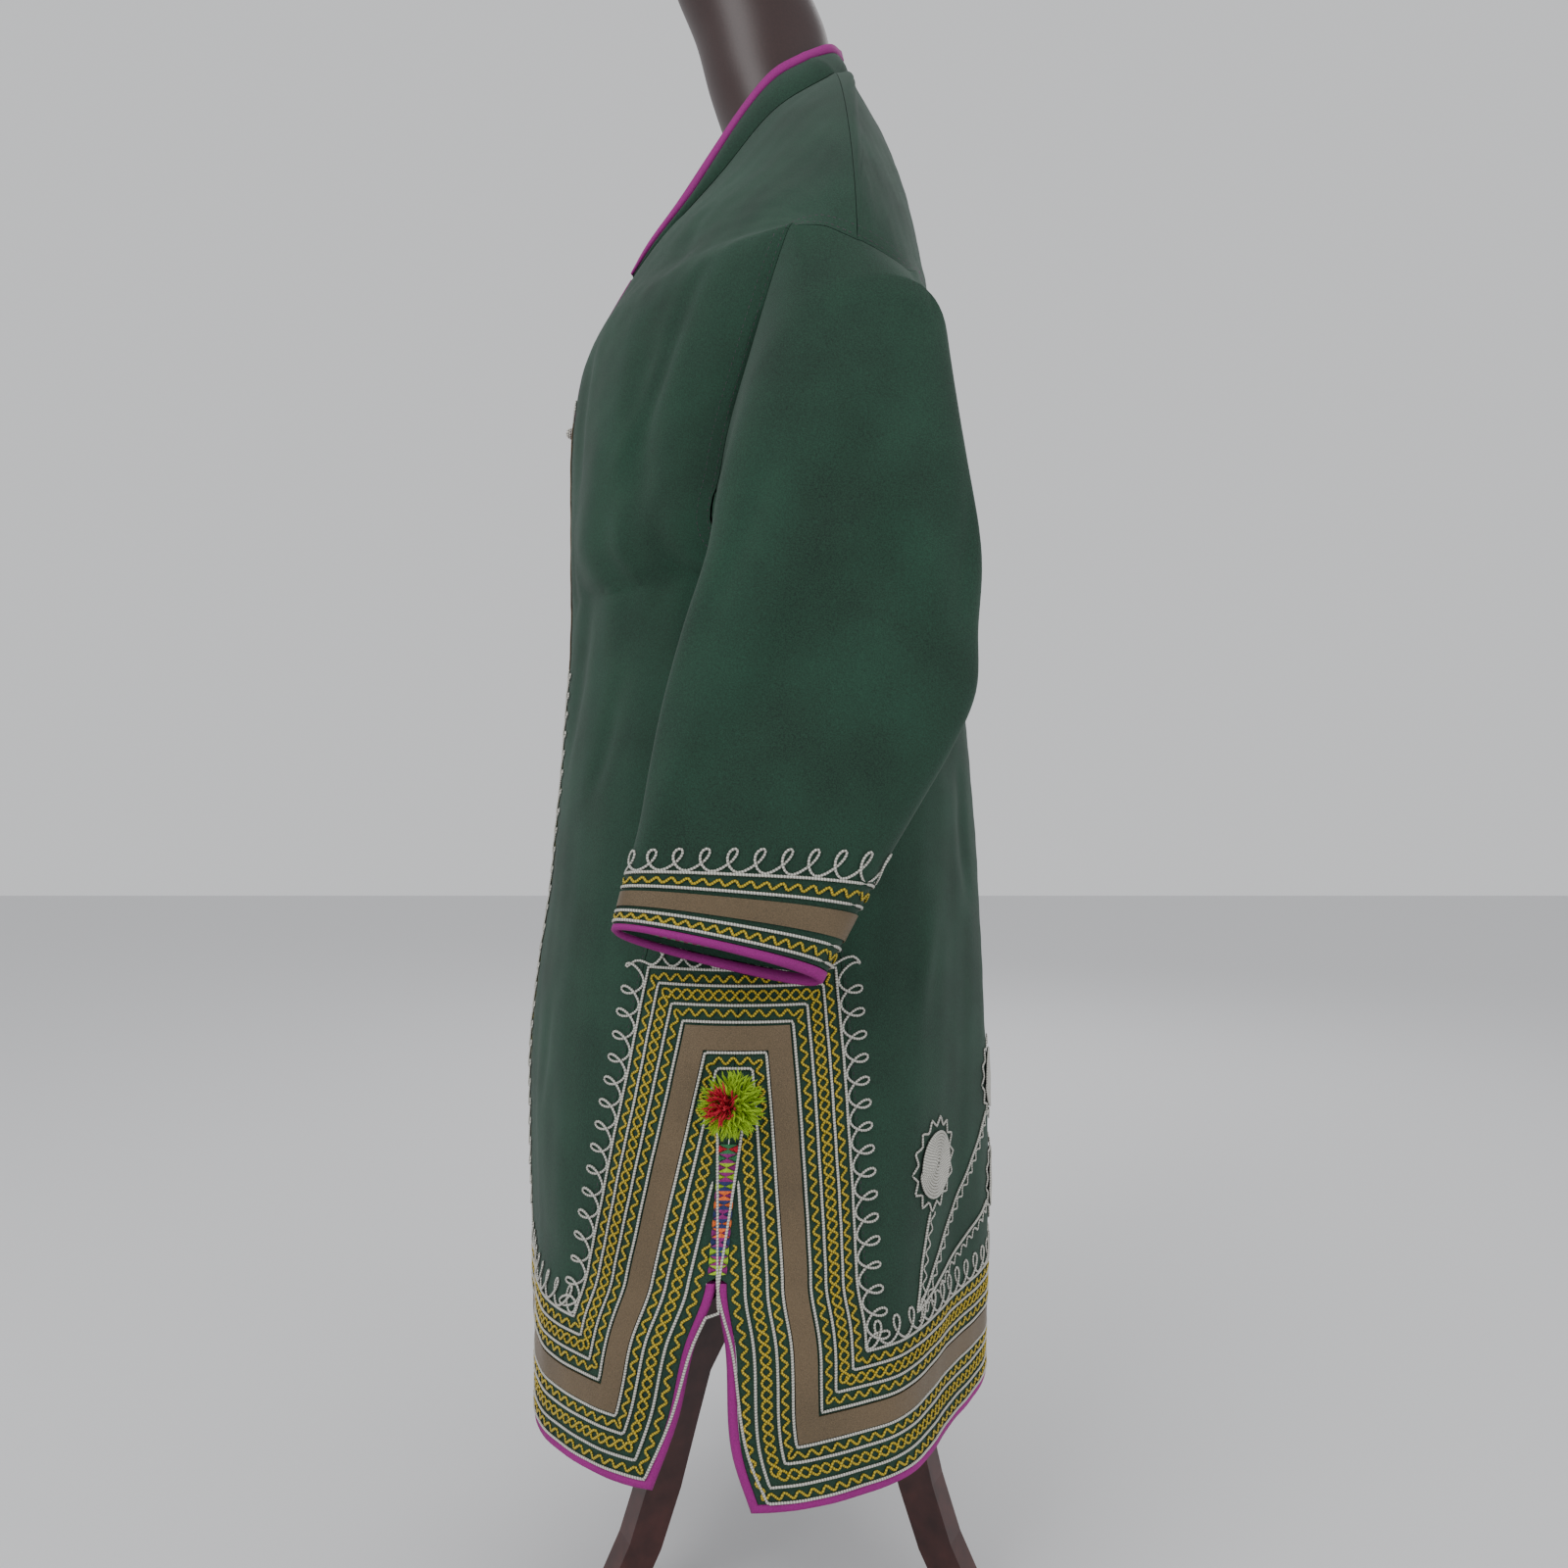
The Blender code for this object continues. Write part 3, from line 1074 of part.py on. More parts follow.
def leg_object(name):
    """A flat cabriole leg cut from board: its outline as a filled curve, extruded."""
    line = np.array(LEG_LINE)
    path = line[:, :2]
    tangents = unit(np.gradient(path, axis=0))
    sideways = np.stack([-tangents[:, 1], tangents[:, 0]], axis=1)
    upper = path + sideways * line[:, 2:]
    lower = path - sideways * line[:, 2:]
    toe = [(LEG_TOE, 0.012), (LEG_TOE - 0.003, 0.0), (LEG_TOE - 0.042, 0.0)]
    outline = [tuple(p) for p in upper] + toe + [tuple(p) for p in lower[::-1]]
    curve = bpy.data.curves.new(name, "CURVE")
    curve.dimensions = "2D"
    curve.fill_mode = "BOTH"
    curve.extrude = LEG_HALF_THICK
    spline_line = curve.splines.new("POLY")
    spline_line.points.add(len(outline) - 1)
    for place, (radius, height) in zip(spline_line.points, outline):
        place.co = (radius, height, 0.0, 1.0)
    spline_line.use_cyclic_u = True
    curve.materials.append(new_material("wood"))
    leg = bpy.data.objects.new(name, curve)
    GARMENT.objects.link(leg)
    return leg


for old in list(bpy.data.objects):
    bpy.data.objects.remove(old, do_unlink=True)
GARMENT = bpy.data.collections.new("chapan on a dress form")
bpy.context.scene.collection.children.link(GARMENT)

make_fronts()
make_back()
make_gores()
make_sleeves()
make_bindings()
make_front_ribbon()
make_side_ribbon()
make_strips()
make_collar()
make_pompoms()
make_flowers()
make_button()
make_stand(make_form())
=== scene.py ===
"""Looks of the chapan on a limbless dress form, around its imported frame.

Metres, +Z up. +X is the garment's left, -Y its front. The tables and surface functions are those of the
part's source, with finer rows, so cloth, trims and stitches all lie on the same surface. A place on a
panel is (metres from its inner edge, metres above its hem), and one beside the side seam is (metres
behind the seam, height). The right side is the left side mirrored.
"""

import math

import bpy
import numpy as np
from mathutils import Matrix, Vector


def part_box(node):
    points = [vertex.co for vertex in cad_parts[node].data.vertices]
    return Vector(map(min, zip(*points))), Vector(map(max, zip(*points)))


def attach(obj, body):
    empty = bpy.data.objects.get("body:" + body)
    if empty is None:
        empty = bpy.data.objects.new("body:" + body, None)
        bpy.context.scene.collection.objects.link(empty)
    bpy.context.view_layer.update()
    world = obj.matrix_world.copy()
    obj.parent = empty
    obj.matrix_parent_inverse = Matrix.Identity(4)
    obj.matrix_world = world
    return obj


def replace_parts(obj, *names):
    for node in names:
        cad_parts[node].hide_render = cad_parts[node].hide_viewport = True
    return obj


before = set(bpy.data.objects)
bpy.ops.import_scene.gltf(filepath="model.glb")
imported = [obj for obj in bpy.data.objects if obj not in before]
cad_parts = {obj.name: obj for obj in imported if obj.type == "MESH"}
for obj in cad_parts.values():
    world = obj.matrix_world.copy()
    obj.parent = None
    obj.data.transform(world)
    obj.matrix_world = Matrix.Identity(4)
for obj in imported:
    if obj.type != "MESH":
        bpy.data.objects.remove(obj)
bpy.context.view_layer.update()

FINE = 0.0075  # rows of the cloth are no further apart than this

CLOTH = 0.0026
SEAM_GAP = 0.0006
SHIFT_Y = 0.0197  # the tables' Y is measured from the neck; this centres the whole on the origin

# Heights of the skirt's landmarks
FRONT_HEM = 0.217
BACK_HEM = 0.200
SLIT_TOP = 0.357
POMPOM_Z = 0.4757
ARCH_BASE = 0.4637
ARCH_TOP = 0.5626
UNDERARM = 0.840

# Edge binding and flat ribbon, as distances in from the edge that they follow
BIND = 0.0070
BIND_PROUD = 0.0009
FRONT_RIBBON = (0.0246, 0.0392)
SIDE_RIBBON = (0.0458, 0.0619)
RIBBON_LINES = 0.0012  # a panel's lines run this far outside a ribbon's edges
RIBBON_OFF = 0.0005
RIBBON_THICK = 0.0009

# Side gores: half their width where the slit ends, under the arch of trim and at the underarm
GORE_HEIGHTS = (SLIT_TOP, ARCH_TOP, UNDERARM)
GORE_WIDTHS = (0.104, 0.072, 0.012)

# Columns of the panel rows: up from the hem, edge point, side point, the curve's leave from the edge
# and its arrival at the side
FRONT_SKIRT = (
    (0.000, 0.0120, -0.2045, 0.217, 0.260, -0.0885, 0.217, 0.150, -0.010, 0.0, 0.014, 0.066, 0.0),
    (0.049, 0.0110, -0.2090, 0.266, 0.262, -0.0707, 0.266, 0.150, -0.010, 0.0, 0.008, 0.075, 0.0),
    (0.097, 0.0100, -0.2115, 0.314, 0.263, -0.0600, 0.314, 0.150, -0.008, 0.0, 0.004, 0.080, 0.0),
    (0.140, 0.0090, -0.2130, 0.357, 0.262, -0.0450, 0.357, 0.150, -0.008, 0.0, 0.000, 0.085, 0.0),
    (0.149, 0.0090, -0.2132, 0.366, 0.2616, -0.0442, 0.366, 0.150, -0.008, 0.0, 0.000, 0.086, 0.0),
    (0.273, 0.0070, -0.2140, 0.490, 0.252, -0.0340, 0.490, 0.140, -0.006, 0.0, 0.000, 0.095, 0.0),
    (0.407, 0.0050, -0.1980, 0.624, 0.233, -0.0260, 0.624, 0.130, -0.004, 0.0, 0.000, 0.092, 0.0),
    (0.556, 0.0040, -0.1870, 0.773, 0.212, -0.0150, 0.773, 0.120, -0.002, 0.0, 0.000, 0.090, 0.0),
    (0.623, 0.0030, -0.1850, 0.840, 0.200, -0.0100, 0.840, 0.115, 0.000, 0.0, 0.000, 0.090, 0.0),
)
FRONT_YOKE = (
    (0.623, 0.0030, -0.1850, 0.840, 0.1995, -0.022, 0.840, 0.115, 0.000, 0.0, 0.002, 0.085, 0.0),
    (0.651, 0.0030, -0.1850, 0.868, 0.200, -0.048, 0.866, 0.112, 0.000, 0.0, 0.008, 0.080, 0.0),
    (0.703, 0.0030, -0.1850, 0.920, 0.202, -0.045, 0.920, 0.110, 0.000, 0.0, 0.012, 0.075, 0.0),
    (0.783, 0.0030, -0.1870, 1.000, 0.222, -0.022, 1.000, 0.110, 0.010, 0.0, 0.020, 0.070, 0.0),
    (0.850, 0.0150, -0.1730, 1.062, 0.250, 0.003, 1.066, 0.100, 0.020, 0.010, 0.040, 0.060, 0.0),
    (0.895, 0.0260, -0.1480, 1.105, 0.253, 0.009, 1.067, 0.090, 0.030, 0.0, 0.050, 0.050, -0.020),
    (0.945, 0.0380, -0.1120, 1.152, 0.256, 0.016, 1.066, 0.080, 0.020, -0.010, 0.050, 0.030, -0.050),
    (1.000, 0.0680, -0.0540, 1.200, 0.260, 0.028, 1.063, 0.070, 0.020, -0.030, 0.035, 0.015, -0.070),
    (1.050, 0.0840, -0.0080, 1.245, 0.262, 0.040, 1.057, 0.065, 0.015, -0.035, 0.025, 0.005, -0.075),
    (1.100, 0.0700, 0.0420, 1.284, 0.262, 0.049, 1.053, 0.065, 0.002, -0.035, 0.022, 0.000, -0.080),
)
BACK_SKIRT = (
    (0.000, 0.0, 0.1700, 0.200, 0.258, -0.0220, 0.200, 0.150, 0.0, 0.0, 0.000, -0.100, 0.0),
    (0.038, 0.0, 0.1710, 0.238, 0.261, -0.0340, 0.238, 0.150, 0.0, 0.0, 0.000, -0.105, 0.0),
    (0.114, 0.0, 0.1740, 0.314, 0.262, -0.0393, 0.314, 0.150, 0.0, 0.0, 0.000, -0.110, 0.0),
    (0.157, 0.0, 0.1750, 0.357, 0.262, -0.0450, 0.357, 0.150, 0.0, 0.0, 0.000, -0.110, 0.0),
    (0.166, 0.0, 0.1750, 0.366, 0.2616, -0.0442, 0.366, 0.150, 0.0, 0.0, 0.000, -0.110, 0.0),
    (0.290, 0.0, 0.1725, 0.490, 0.252, -0.0340, 0.490, 0.145, 0.0, 0.0, 0.000, -0.110, 0.0),
    (0.424, 0.0, 0.1680, 0.624, 0.233, -0.0260, 0.624, 0.130, 0.0, 0.0, 0.000, -0.105, 0.0),
    (0.573, 0.0, 0.1560, 0.773, 0.212, -0.0150, 0.773, 0.115, 0.0, 0.0, 0.000, -0.095, 0.0),
    (0.640, 0.0, 0.1460, 0.840, 0.200, -0.0100, 0.840, 0.110, 0.0, 0.0, 0.000, -0.088, 0.0),
)
BACK_YOKE = (
    (0.640, 0.0, 0.1460, 0.840, 0.1995, 0.002, 0.840, 0.110, 0.0, 0.0, 0.002, -0.080, 0.0),
    (0.668, 0.0, 0.1430, 0.868, 0.200, 0.030, 0.853, 0.110, 0.0, 0.0, 0.020, -0.060, -0.005),
    (0.720, 0.0, 0.1370, 0.920, 0.204, 0.070, 0.900, 0.110, 0.0, 0.0, 0.035, -0.035, -0.010),
    (0.800, 0.0, 0.1300, 1.000, 0.226, 0.092, 0.972, 0.110, 0.0, 0.0, 0.050, -0.020, -0.012),
    (0.860, 0.0, 0.1240, 1.060, 0.248, 0.093, 1.028, 0.110, 0.0, 0.0, 0.060, -0.012, -0.020),
    (0.930, 0.0, 0.1160, 1.130, 0.2535, 0.083, 1.037, 0.100, 0.0, 0.0, 0.050, -0.010, -0.045),
    (1.000, 0.0, 0.1040, 1.200, 0.257, 0.071, 1.044, 0.090, 0.0, -0.005, 0.035, -0.008, -0.065),
    (1.060, 0.0, 0.0850, 1.260, 0.260, 0.060, 1.049, 0.080, 0.0, -0.010, 0.025, -0.003, -0.075),
    (1.110, 0.0, 0.0600, 1.304, 0.2612, 0.054, 1.0515, 0.080, 0.0, -0.008, 0.022, -0.002, -0.080),
    (1.150, 0.0420, 0.0560, 1.297, 0.2617, 0.0515, 1.0525, 0.070, 0.0, -0.020, 0.022, 0.0, -0.080),
    (1.190, 0.0700, 0.0420, 1.284, 0.262, 0.049, 1.053, 0.065, 0.002, -0.035, 0.022, 0.0, -0.080),
)

# Largest folds. Columns: place across (0 inner edge, 1 side) and height of the lower end, the same of
# the upper end, half width, depth (negative is a valley), 1 where it runs out through the hem
FRONT_FOLDS = (
    (0.34, 0.000, 0.30, 0.420, 0.034, -0.0050, 1),
    (0.62, 0.000, 0.58, 0.400, 0.030, 0.0040, 1),
    (0.30, 0.480, 0.40, 0.640, 0.017, -0.0050, 0),
    (0.36, 0.700, 0.17, 0.860, 0.016, -0.0050, 0),
    (0.78, 0.640, 0.62, 0.830, 0.018, -0.0075, 0),
    (0.55, 0.560, 0.50, 0.760, 0.022, 0.0050, 0),
)
BACK_FOLDS = (
    (0.22, 0.000, 0.18, 0.520, 0.034, 0.0045, 1),
    (0.45, 0.000, 0.36, 0.560, 0.036, -0.0060, 1),
    (0.68, 0.000, 0.58, 0.480, 0.030, 0.0045, 1),
    (0.40, 0.480, 0.66, 0.760, 0.026, -0.0060, 0),
    (0.12, 0.620, 0.20, 0.900, 0.030, -0.0035, 0),
)

# Rows of the panels, as heights above their own hem and, between, as heights above the floor
HEM_ROWS = (BIND, SIDE_RIBBON[0] - RIBBON_LINES, SIDE_RIBBON[1] + RIBBON_LINES, 0.100)
ARCH_ROWS = (ARCH_BASE + HEM_ROWS[1], ARCH_BASE + HEM_ROWS[2])
SLIT_STEP = 0.004
SKIRT_HEIGHTS = (
    SLIT_TOP, SLIT_TOP + SLIT_STEP, 0.398, 0.435, 0.4725, *ARCH_ROWS,
    0.565, 0.610, 0.655, 0.700, 0.750, 0.795, UNDERARM,
)
COLLAR_START = 0.921
BIND_END = COLLAR_START - 0.004
FRONT_UPPER = (
    0.651, 0.703, 0.745, 0.783, 0.820, 0.850, 0.890, BIND_END, COLLAR_START,
    0.948, 0.975, 1.005, 1.035, 1.067, 1.100,
)
BACK_UPPER = (0.668, 0.720, 0.762, 0.800, 0.830, 0.860, 0.930, 1.000, 1.060, 1.110, 1.150, 1.190)
BACK_NECK = 1.110
FRONT_RIBBON_TOP = 0.783

# Top edge of the stand collar over the front's and the back's own neckline rows: up, x, y, z
COLLAR_FRONT = (
    (0.921, 0.0310, -0.1335, 1.1345),
    (0.948, 0.0340, -0.1180, 1.1600),
    (0.975, 0.0450, -0.0930, 1.1880),
    (1.005, 0.0560, -0.0620, 1.2280),
    (1.035, 0.0625, -0.0360, 1.2620),
    (1.067, 0.0655, -0.0110, 1.2900),
    (1.100, 0.0590, 0.0150, 1.3090),
)
COLLAR_BACK = ((1.110, 0.0, 0.0510, 1.3490), (1.150, 0.0370, 0.0385, 1.3310), (1.190, 0.0590, 0.0150, 1.3090))
COLLAR_BIND = 0.010
COLLAR_THICK = 0.0030

# Sleeve rings from the cuff up. Columns: distance above the cuff, front fold y z, back fold y z,
# middle x, half thickness x y z from the middle to the outer face
SLEEVE_RINGS = (
    (0.000, -0.113, 0.5920, 0.024, 0.5580, 0.2715, 0.0255, 0.000, 0.010),
    (0.053, -0.104, 0.6280, 0.056, 0.6190, 0.2715, 0.0270, 0.000, 0.006),
    (0.101, -0.095, 0.6650, 0.086, 0.6700, 0.2700, 0.0280, 0.000, 0.004),
    (0.144, -0.089, 0.7000, 0.112, 0.7150, 0.2690, 0.0280, 0.000, 0.006),
    (0.183, -0.081, 0.7400, 0.127, 0.7500, 0.2670, 0.0285, 0.000, 0.012),
    (0.226, -0.069, 0.7850, 0.129, 0.7900, 0.2640, 0.0300, 0.000, 0.022),
    (0.280, -0.052, 0.8410, 0.131, 0.8410, 0.2590, 0.0330, 0.004, 0.037),
    (0.325, -0.045, 0.8850, 0.120, 0.8920, 0.2530, 0.0350, 0.010, 0.060),
    (0.356, -0.036, 0.9250, 0.106, 0.9450, 0.2430, 0.0360, 0.020, 0.085),
)
SLEEVE_SQUARE = 0.86  # under 1 the ring is fuller than an ellipse
SLEEVE_ROWS = (
    0.356, 0.325, 0.280, 0.226, 0.183, 0.144, 0.101, 0.070,
    FRONT_RIBBON[1] + RIBBON_LINES, FRONT_RIBBON[0] - RIBBON_LINES, BIND,
)
# Sleeve folds. Columns: angle round the ring in degrees (90 is the outer face), its lower end, angle
# and height of its upper end, half width in degrees, depth
SLEEVE_FOLDS = (
    (62.0, 0.030, 100.0, 0.230, 16.0, -0.0060),
    (120.0, 0.120, 60.0, 0.300, 15.0, -0.0055),
    (40.0, 0.190, 96.0, 0.350, 14.0, 0.0040),
    (150.0, 0.060, 128.0, 0.200, 14.0, 0.0035),
)
LINING_REACH = (0.012, 0.062)
LINING_THICK = 0.0014

# Pieces on the cloth
STRIP_HALF = 0.0065
STRIP_HEIGHTS = (0.363, 0.398, 0.435, 0.448)
STRIP_THICK = 0.0012
POMPOM_RADIUS = 0.0245
POMPOM_CORE = 0.0105
POMPOM_TILT = -0.15  # strands that point further into the cloth than this are left out
FLOWER_COILS = 0.0245
FLOWER_POINTS = 14
FLOWER_RADII = (0.0275, 0.0335)
FLOWER_OFF = 0.0007
FLOWERS = {"flower_1": (0.195, 0.210), "flower_2": (0.064, 0.245), "flower_3": (0.058, 0.160)}
BUTTON_AT = (0.0, -0.1950, 1.004)
BUTTON_RADIUS = 0.0055
SEAT = 0.0004

# Dress form. Columns: height, half width, middle y, half depth
TORSO_RINGS = (
    (0.650, 0.130, -0.004, 0.094),
    (0.700, 0.138, -0.005, 0.100),
    (0.770, 0.140, -0.008, 0.103),
    (0.850, 0.150, -0.012, 0.110),
    (0.930, 0.164, -0.018, 0.115),
    (1.020, 0.176, -0.018, 0.112),
    (1.090, 0.180, -0.006, 0.097),
    (1.140, 0.174, 0.004, 0.080),
    (1.170, 0.158, 0.014, 0.064),
    (1.195, 0.130, 0.016, 0.058),
    (1.220, 0.092, 0.014, 0.052),
    (1.243, 0.066, 0.006, 0.050),
    (1.270, 0.055, -0.003, 0.0520),
    (1.305, 0.052, -0.011, 0.0560),
    (1.354, 0.051, -0.0205, 0.0600),
    (1.393, 0.051, -0.0365, 0.0600),
)
TORSO_SIDES = 20
CAP_HEIGHT = 0.020
COLUMN_PROFILE = (
    (0.0250, 0.6450), (0.0250, 0.6300), (0.0160, 0.6150), (0.0150, 0.3300), (0.0210, 0.3100),
    (0.0290, 0.2900), (0.0310, 0.2600), (0.0300, 0.2150), (0.0220, 0.1950), (0.0100, 0.1880),
)
COLUMN_Y = 0.0050
COLUMN_STEPS = 16
# Leg outline in its own plane: middle line radius and height, half width
LEG_LINE = (
    (0.0330, 0.2500, 0.0190), (0.0560, 0.2470, 0.0185), (0.0800, 0.2300, 0.0180),
    (0.1000, 0.1980, 0.0175), (0.1130, 0.1550, 0.0170), (0.1270, 0.1050, 0.0160),
    (0.1440, 0.0600, 0.0155), (0.1620, 0.0280, 0.0150),
)
LEG_TOE = 0.1900
LEG_HALF_THICK = 0.0110
LEG_ANGLES = {"leg_front": -60.0, "leg_back": 60.0, "leg_side": 180.0}

CURVE_STEPS = 24
NUDGE = 0.0012
MIRROR = np.array((-1.0, 1.0, 1.0))


def refined(values, step=FINE):
    """The same rows, with even ones added between."""
    rows = [float(values[0])]
    for low, high in zip(values, values[1:]):
        count = max(1, math.ceil(abs(high - low) / step - 1e-6))
        rows += [float(low + (high - low) * i / count) for i in range(1, count)] + [float(high)]
    return tuple(rows)


def spread(lines, counts):
    """The same lines, with this many steps between each two."""
    runs = [np.linspace(low, high, count, endpoint=False) for low, high, count in zip(lines, lines[1:], counts)]
    return np.concatenate([*runs, [lines[-1]]])


FRONT_UPPER = refined((UNDERARM - FRONT_HEM, *FRONT_UPPER))[1:]
BACK_UPPER = refined((UNDERARM - BACK_HEM, *BACK_UPPER))[1:]
SLEEVE_ROWS = refined(SLEEVE_ROWS)
PANEL_STEPS = (3, 3, 7, 7, 7, 7, 7, 7)
GORE_STEPS = (6, 4, 3, 3)


def spline(table, at):
    """A table's columns at these values of its first column, on one smooth curve through its rows."""
    table = np.asarray(table, float)
    keys, values = table[:, 0], table[:, 1:]
    at = np.clip(np.asarray(at, float), keys[0], keys[-1])
    row = np.clip(np.searchsorted(keys, at, side="right") - 1, 0, len(keys) - 2)
    slopes = np.gradient(values, keys, axis=0)
    step = keys[row + 1] - keys[row]
    v = ((at - keys[row]) / step)[:, None]
    step = step[:, None]
    return (
        (1 + 2 * v) * (1 - v) ** 2 * values[row]
        + v * (1 - v) ** 2 * step * slopes[row]
        + v * v * (3 - 2 * v) * values[row + 1]
        + v * v * (v - 1) * step * slopes[row + 1]
    )


def curve_weights(v):
    """Weights of the four control points of a cubic curve at v."""
    v = np.asarray(v, float)
    return np.stack([(1 - v) ** 3, 3 * v * (1 - v) ** 2, 3 * v * v * (1 - v), v**3], axis=-1)


def unit(vectors):
    return vectors / np.maximum(np.linalg.norm(vectors, axis=-1, keepdims=True), 1e-12)


def gore_reach(z):
    """Distance along the cloth from the side seam to the gore's outer seam."""
    return np.interp(z, GORE_HEIGHTS, GORE_WIDTHS)


def side_line(from_edge, z):
    """Distance from the side seam of a line of trim that starts this far in from the slit's edge."""
    drawn_in = GORE_WIDTHS[0] - gore_reach(z)
    narrow = GORE_WIDTHS[0] - GORE_WIDTHS[1]
    above = (from_edge - narrow) * gore_reach(z) / GORE_WIDTHS[1]
    return np.where(z <= ARCH_TOP, from_edge - drawn_in, above)


class HalfPanel:
    """One half of the front or the back. A place on it is (metres from its inner edge, up)."""

    def __init__(self, skirt, yoke, hem, facing, folds):
        self.skirt = np.array(skirt)
        self.yoke = np.array(yoke)
        self.hem = hem
        self.facing = facing
        self.folds = folds
        self.underarm = self.skirt[-1, 0]
        self.top = self.yoke[-1, 0]

    def controls(self, up):
        low = spline(self.skirt, np.minimum(up, self.underarm))
        high = spline(self.yoke, np.maximum(up, self.underarm))
        columns = np.where((up <= self.underarm + 1e-9)[:, None], low, high)
        edge, side = columns[:, 0:3], columns[:, 3:6]
        return np.stack([edge, edge + columns[:, 6:9], side - columns[:, 9:12], side], axis=1)

    def runs(self, up):
        """Length along each row at even steps of its curve."""
        steps = curve_weights(np.linspace(0, 1, CURVE_STEPS + 1))
        line = np.einsum("sk,nkc->nsc", steps, self.controls(up))
        lengths = np.linalg.norm(np.diff(line, axis=1), axis=2)
        return np.concatenate([np.zeros((len(up), 1)), np.cumsum(lengths, axis=1)], axis=1)

    def length(self, up):
        return self.runs(np.atleast_1d(up))[:, -1]

    def smooth_point(self, across, up):
        runs = self.runs(up)
        across = np.clip(across, 0, runs[:, -1])
        step = np.clip((runs <= across[:, None]).sum(axis=1) - 1, 0, CURVE_STEPS - 1)
        rows = np.arange(len(up))
        part = (across - runs[rows, step]) / (runs[rows, step + 1] - runs[rows, step])
        weights = curve_weights((step + part) / CURVE_STEPS)
        return np.einsum("nk,nkc->nc", weights, self.controls(up))

    def normals(self, point, across, up):
        length = self.length(up)
        sideways = point(np.minimum(across + NUDGE, length), up) - point(np.maximum(across - NUDGE, 0), up)
        upwards = point(across, np.minimum(up + NUDGE, self.top)) - point(across, np.maximum(up - NUDGE, 0))
        return self.facing * unit(np.cross(sideways, upwards))

    def fold_rise(self, across, up):
        length = self.length(up)
        rise = np.zeros(len(up))
        for low_at, low_up, high_at, high_up, width, depth, open_foot in self.folds:
            v = (up - low_up) / (high_up - low_up)
            at = low_at + (high_at - low_at) * v
            inside = np.clip(v, 0, 1)
            fade = np.cos(inside * math.pi / 2) if open_foot else np.sin(inside * math.pi)
            rise += depth * fade * np.exp(-(((across - at * length) / width) ** 2))
        return rise

    def point(self, across, up):
        """Points of the outer face, folds included."""
        across, up = np.broadcast_arrays(np.asarray(across, float), np.asarray(up, float))
        shape = across.shape
        across, up = across.ravel(), up.ravel()
        normals = self.normals(self.smooth_point, across, up)
        points = self.smooth_point(across, up) + normals * self.fold_rise(across, up)[:, None]
        return points.reshape(*shape, 3)

    def place(self, across, up):
        """Points of the outer face and the directions out of it."""
        across, up = np.broadcast_arrays(np.asarray(across, float), np.asarray(up, float))
        shape = across.shape
        flat = self.normals(self.point, across.ravel(), up.ravel())
        return self.point(across, up), flat.reshape(*shape, 3)

    def from_side(self, distance, up):
        """The place that lies this far from the side seam or slit."""
        return self.length(np.asarray(up, float).ravel()).reshape(np.shape(up)) - distance


FRONT = HalfPanel(FRONT_SKIRT, FRONT_YOKE, FRONT_HEM, 1.0, FRONT_FOLDS)
BACK = HalfPanel(BACK_SKIRT, BACK_YOKE, BACK_HEM, -1.0, BACK_FOLDS)


def skirt_rows(half):
    heights = np.array(SKIRT_HEIGHTS) - half.hem
    return np.array(refined(np.concatenate([np.array(HEM_ROWS), heights])))


def upper_rows(half):
    return np.array(FRONT_UPPER if half is FRONT else BACK_UPPER)


def panel_columns(half, up):
    """Places of the panel's lines across one row, from its inner edge to the gore seam or armhole."""
    length = half.length(up)[0]
    reach = gore_reach(half.hem + up) if up <= half.underarm + 1e-9 else 0.0
    start = BIND if half is FRONT and up < COLLAR_START - 1e-9 else 0.0
    lines = (start, FRONT_RIBBON[0] - RIBBON_LINES, FRONT_RIBBON[1] + RIBBON_LINES)
    beside_ribbon = np.concatenate([lines, np.linspace(lines[-1], length - reach, 7)[1:]])
    if half is FRONT:
        return spread(beside_ribbon, PANEL_STEPS)
    # The back's lines are even, and drift to the front's own places at the shoulder seam
    part = np.clip((up - BACK_NECK) / (half.top - BACK_NECK), 0, 1)
    even = np.linspace(0.0, length - reach, len(beside_ribbon))
    return spread(even * (1 - part) + beside_ribbon * part, PANEL_STEPS)


def gore_columns(half, up):
    """Places of a gore's lines across one row, from its outer seam to the slit or side seam."""
    z = half.hem + up
    inner = side_line(HEM_ROWS[1], z)
    middle = side_line(HEM_ROWS[2], z)
    last = BIND if z < SLIT_TOP + SLIT_STEP / 2 else 0.0
    distances = np.array([gore_reach(z), middle, inner, (inner + last) / 2, last])
    return half.length(up)[0] - spread(distances, GORE_STEPS)


def shoulder_normals():
    """Directions out of the shoulder seam, halfway between the front's and the back's."""
    across = panel_columns(FRONT, FRONT.top)
    front = FRONT.place(across, FRONT.top)[1]
    return unit(front + BACK.place(across, BACK.top)[1])


def side_seam(heights):
    """Points of the side seam at these heights, and directions halfway between front and back."""
    up = np.asarray(heights) - FRONT_HEM
    points, front = FRONT.place(FRONT.length(up), up)
    up = np.asarray(heights) - BACK_HEM
    return points, unit(front + BACK.place(BACK.length(up), up)[1])


def grid_of(half, rows, columns):
    across = np.array([columns(half, up) for up in rows])
    ups = np.repeat(np.asarray(rows)[:, None], across.shape[1], axis=1)
    return half.place(across, ups)


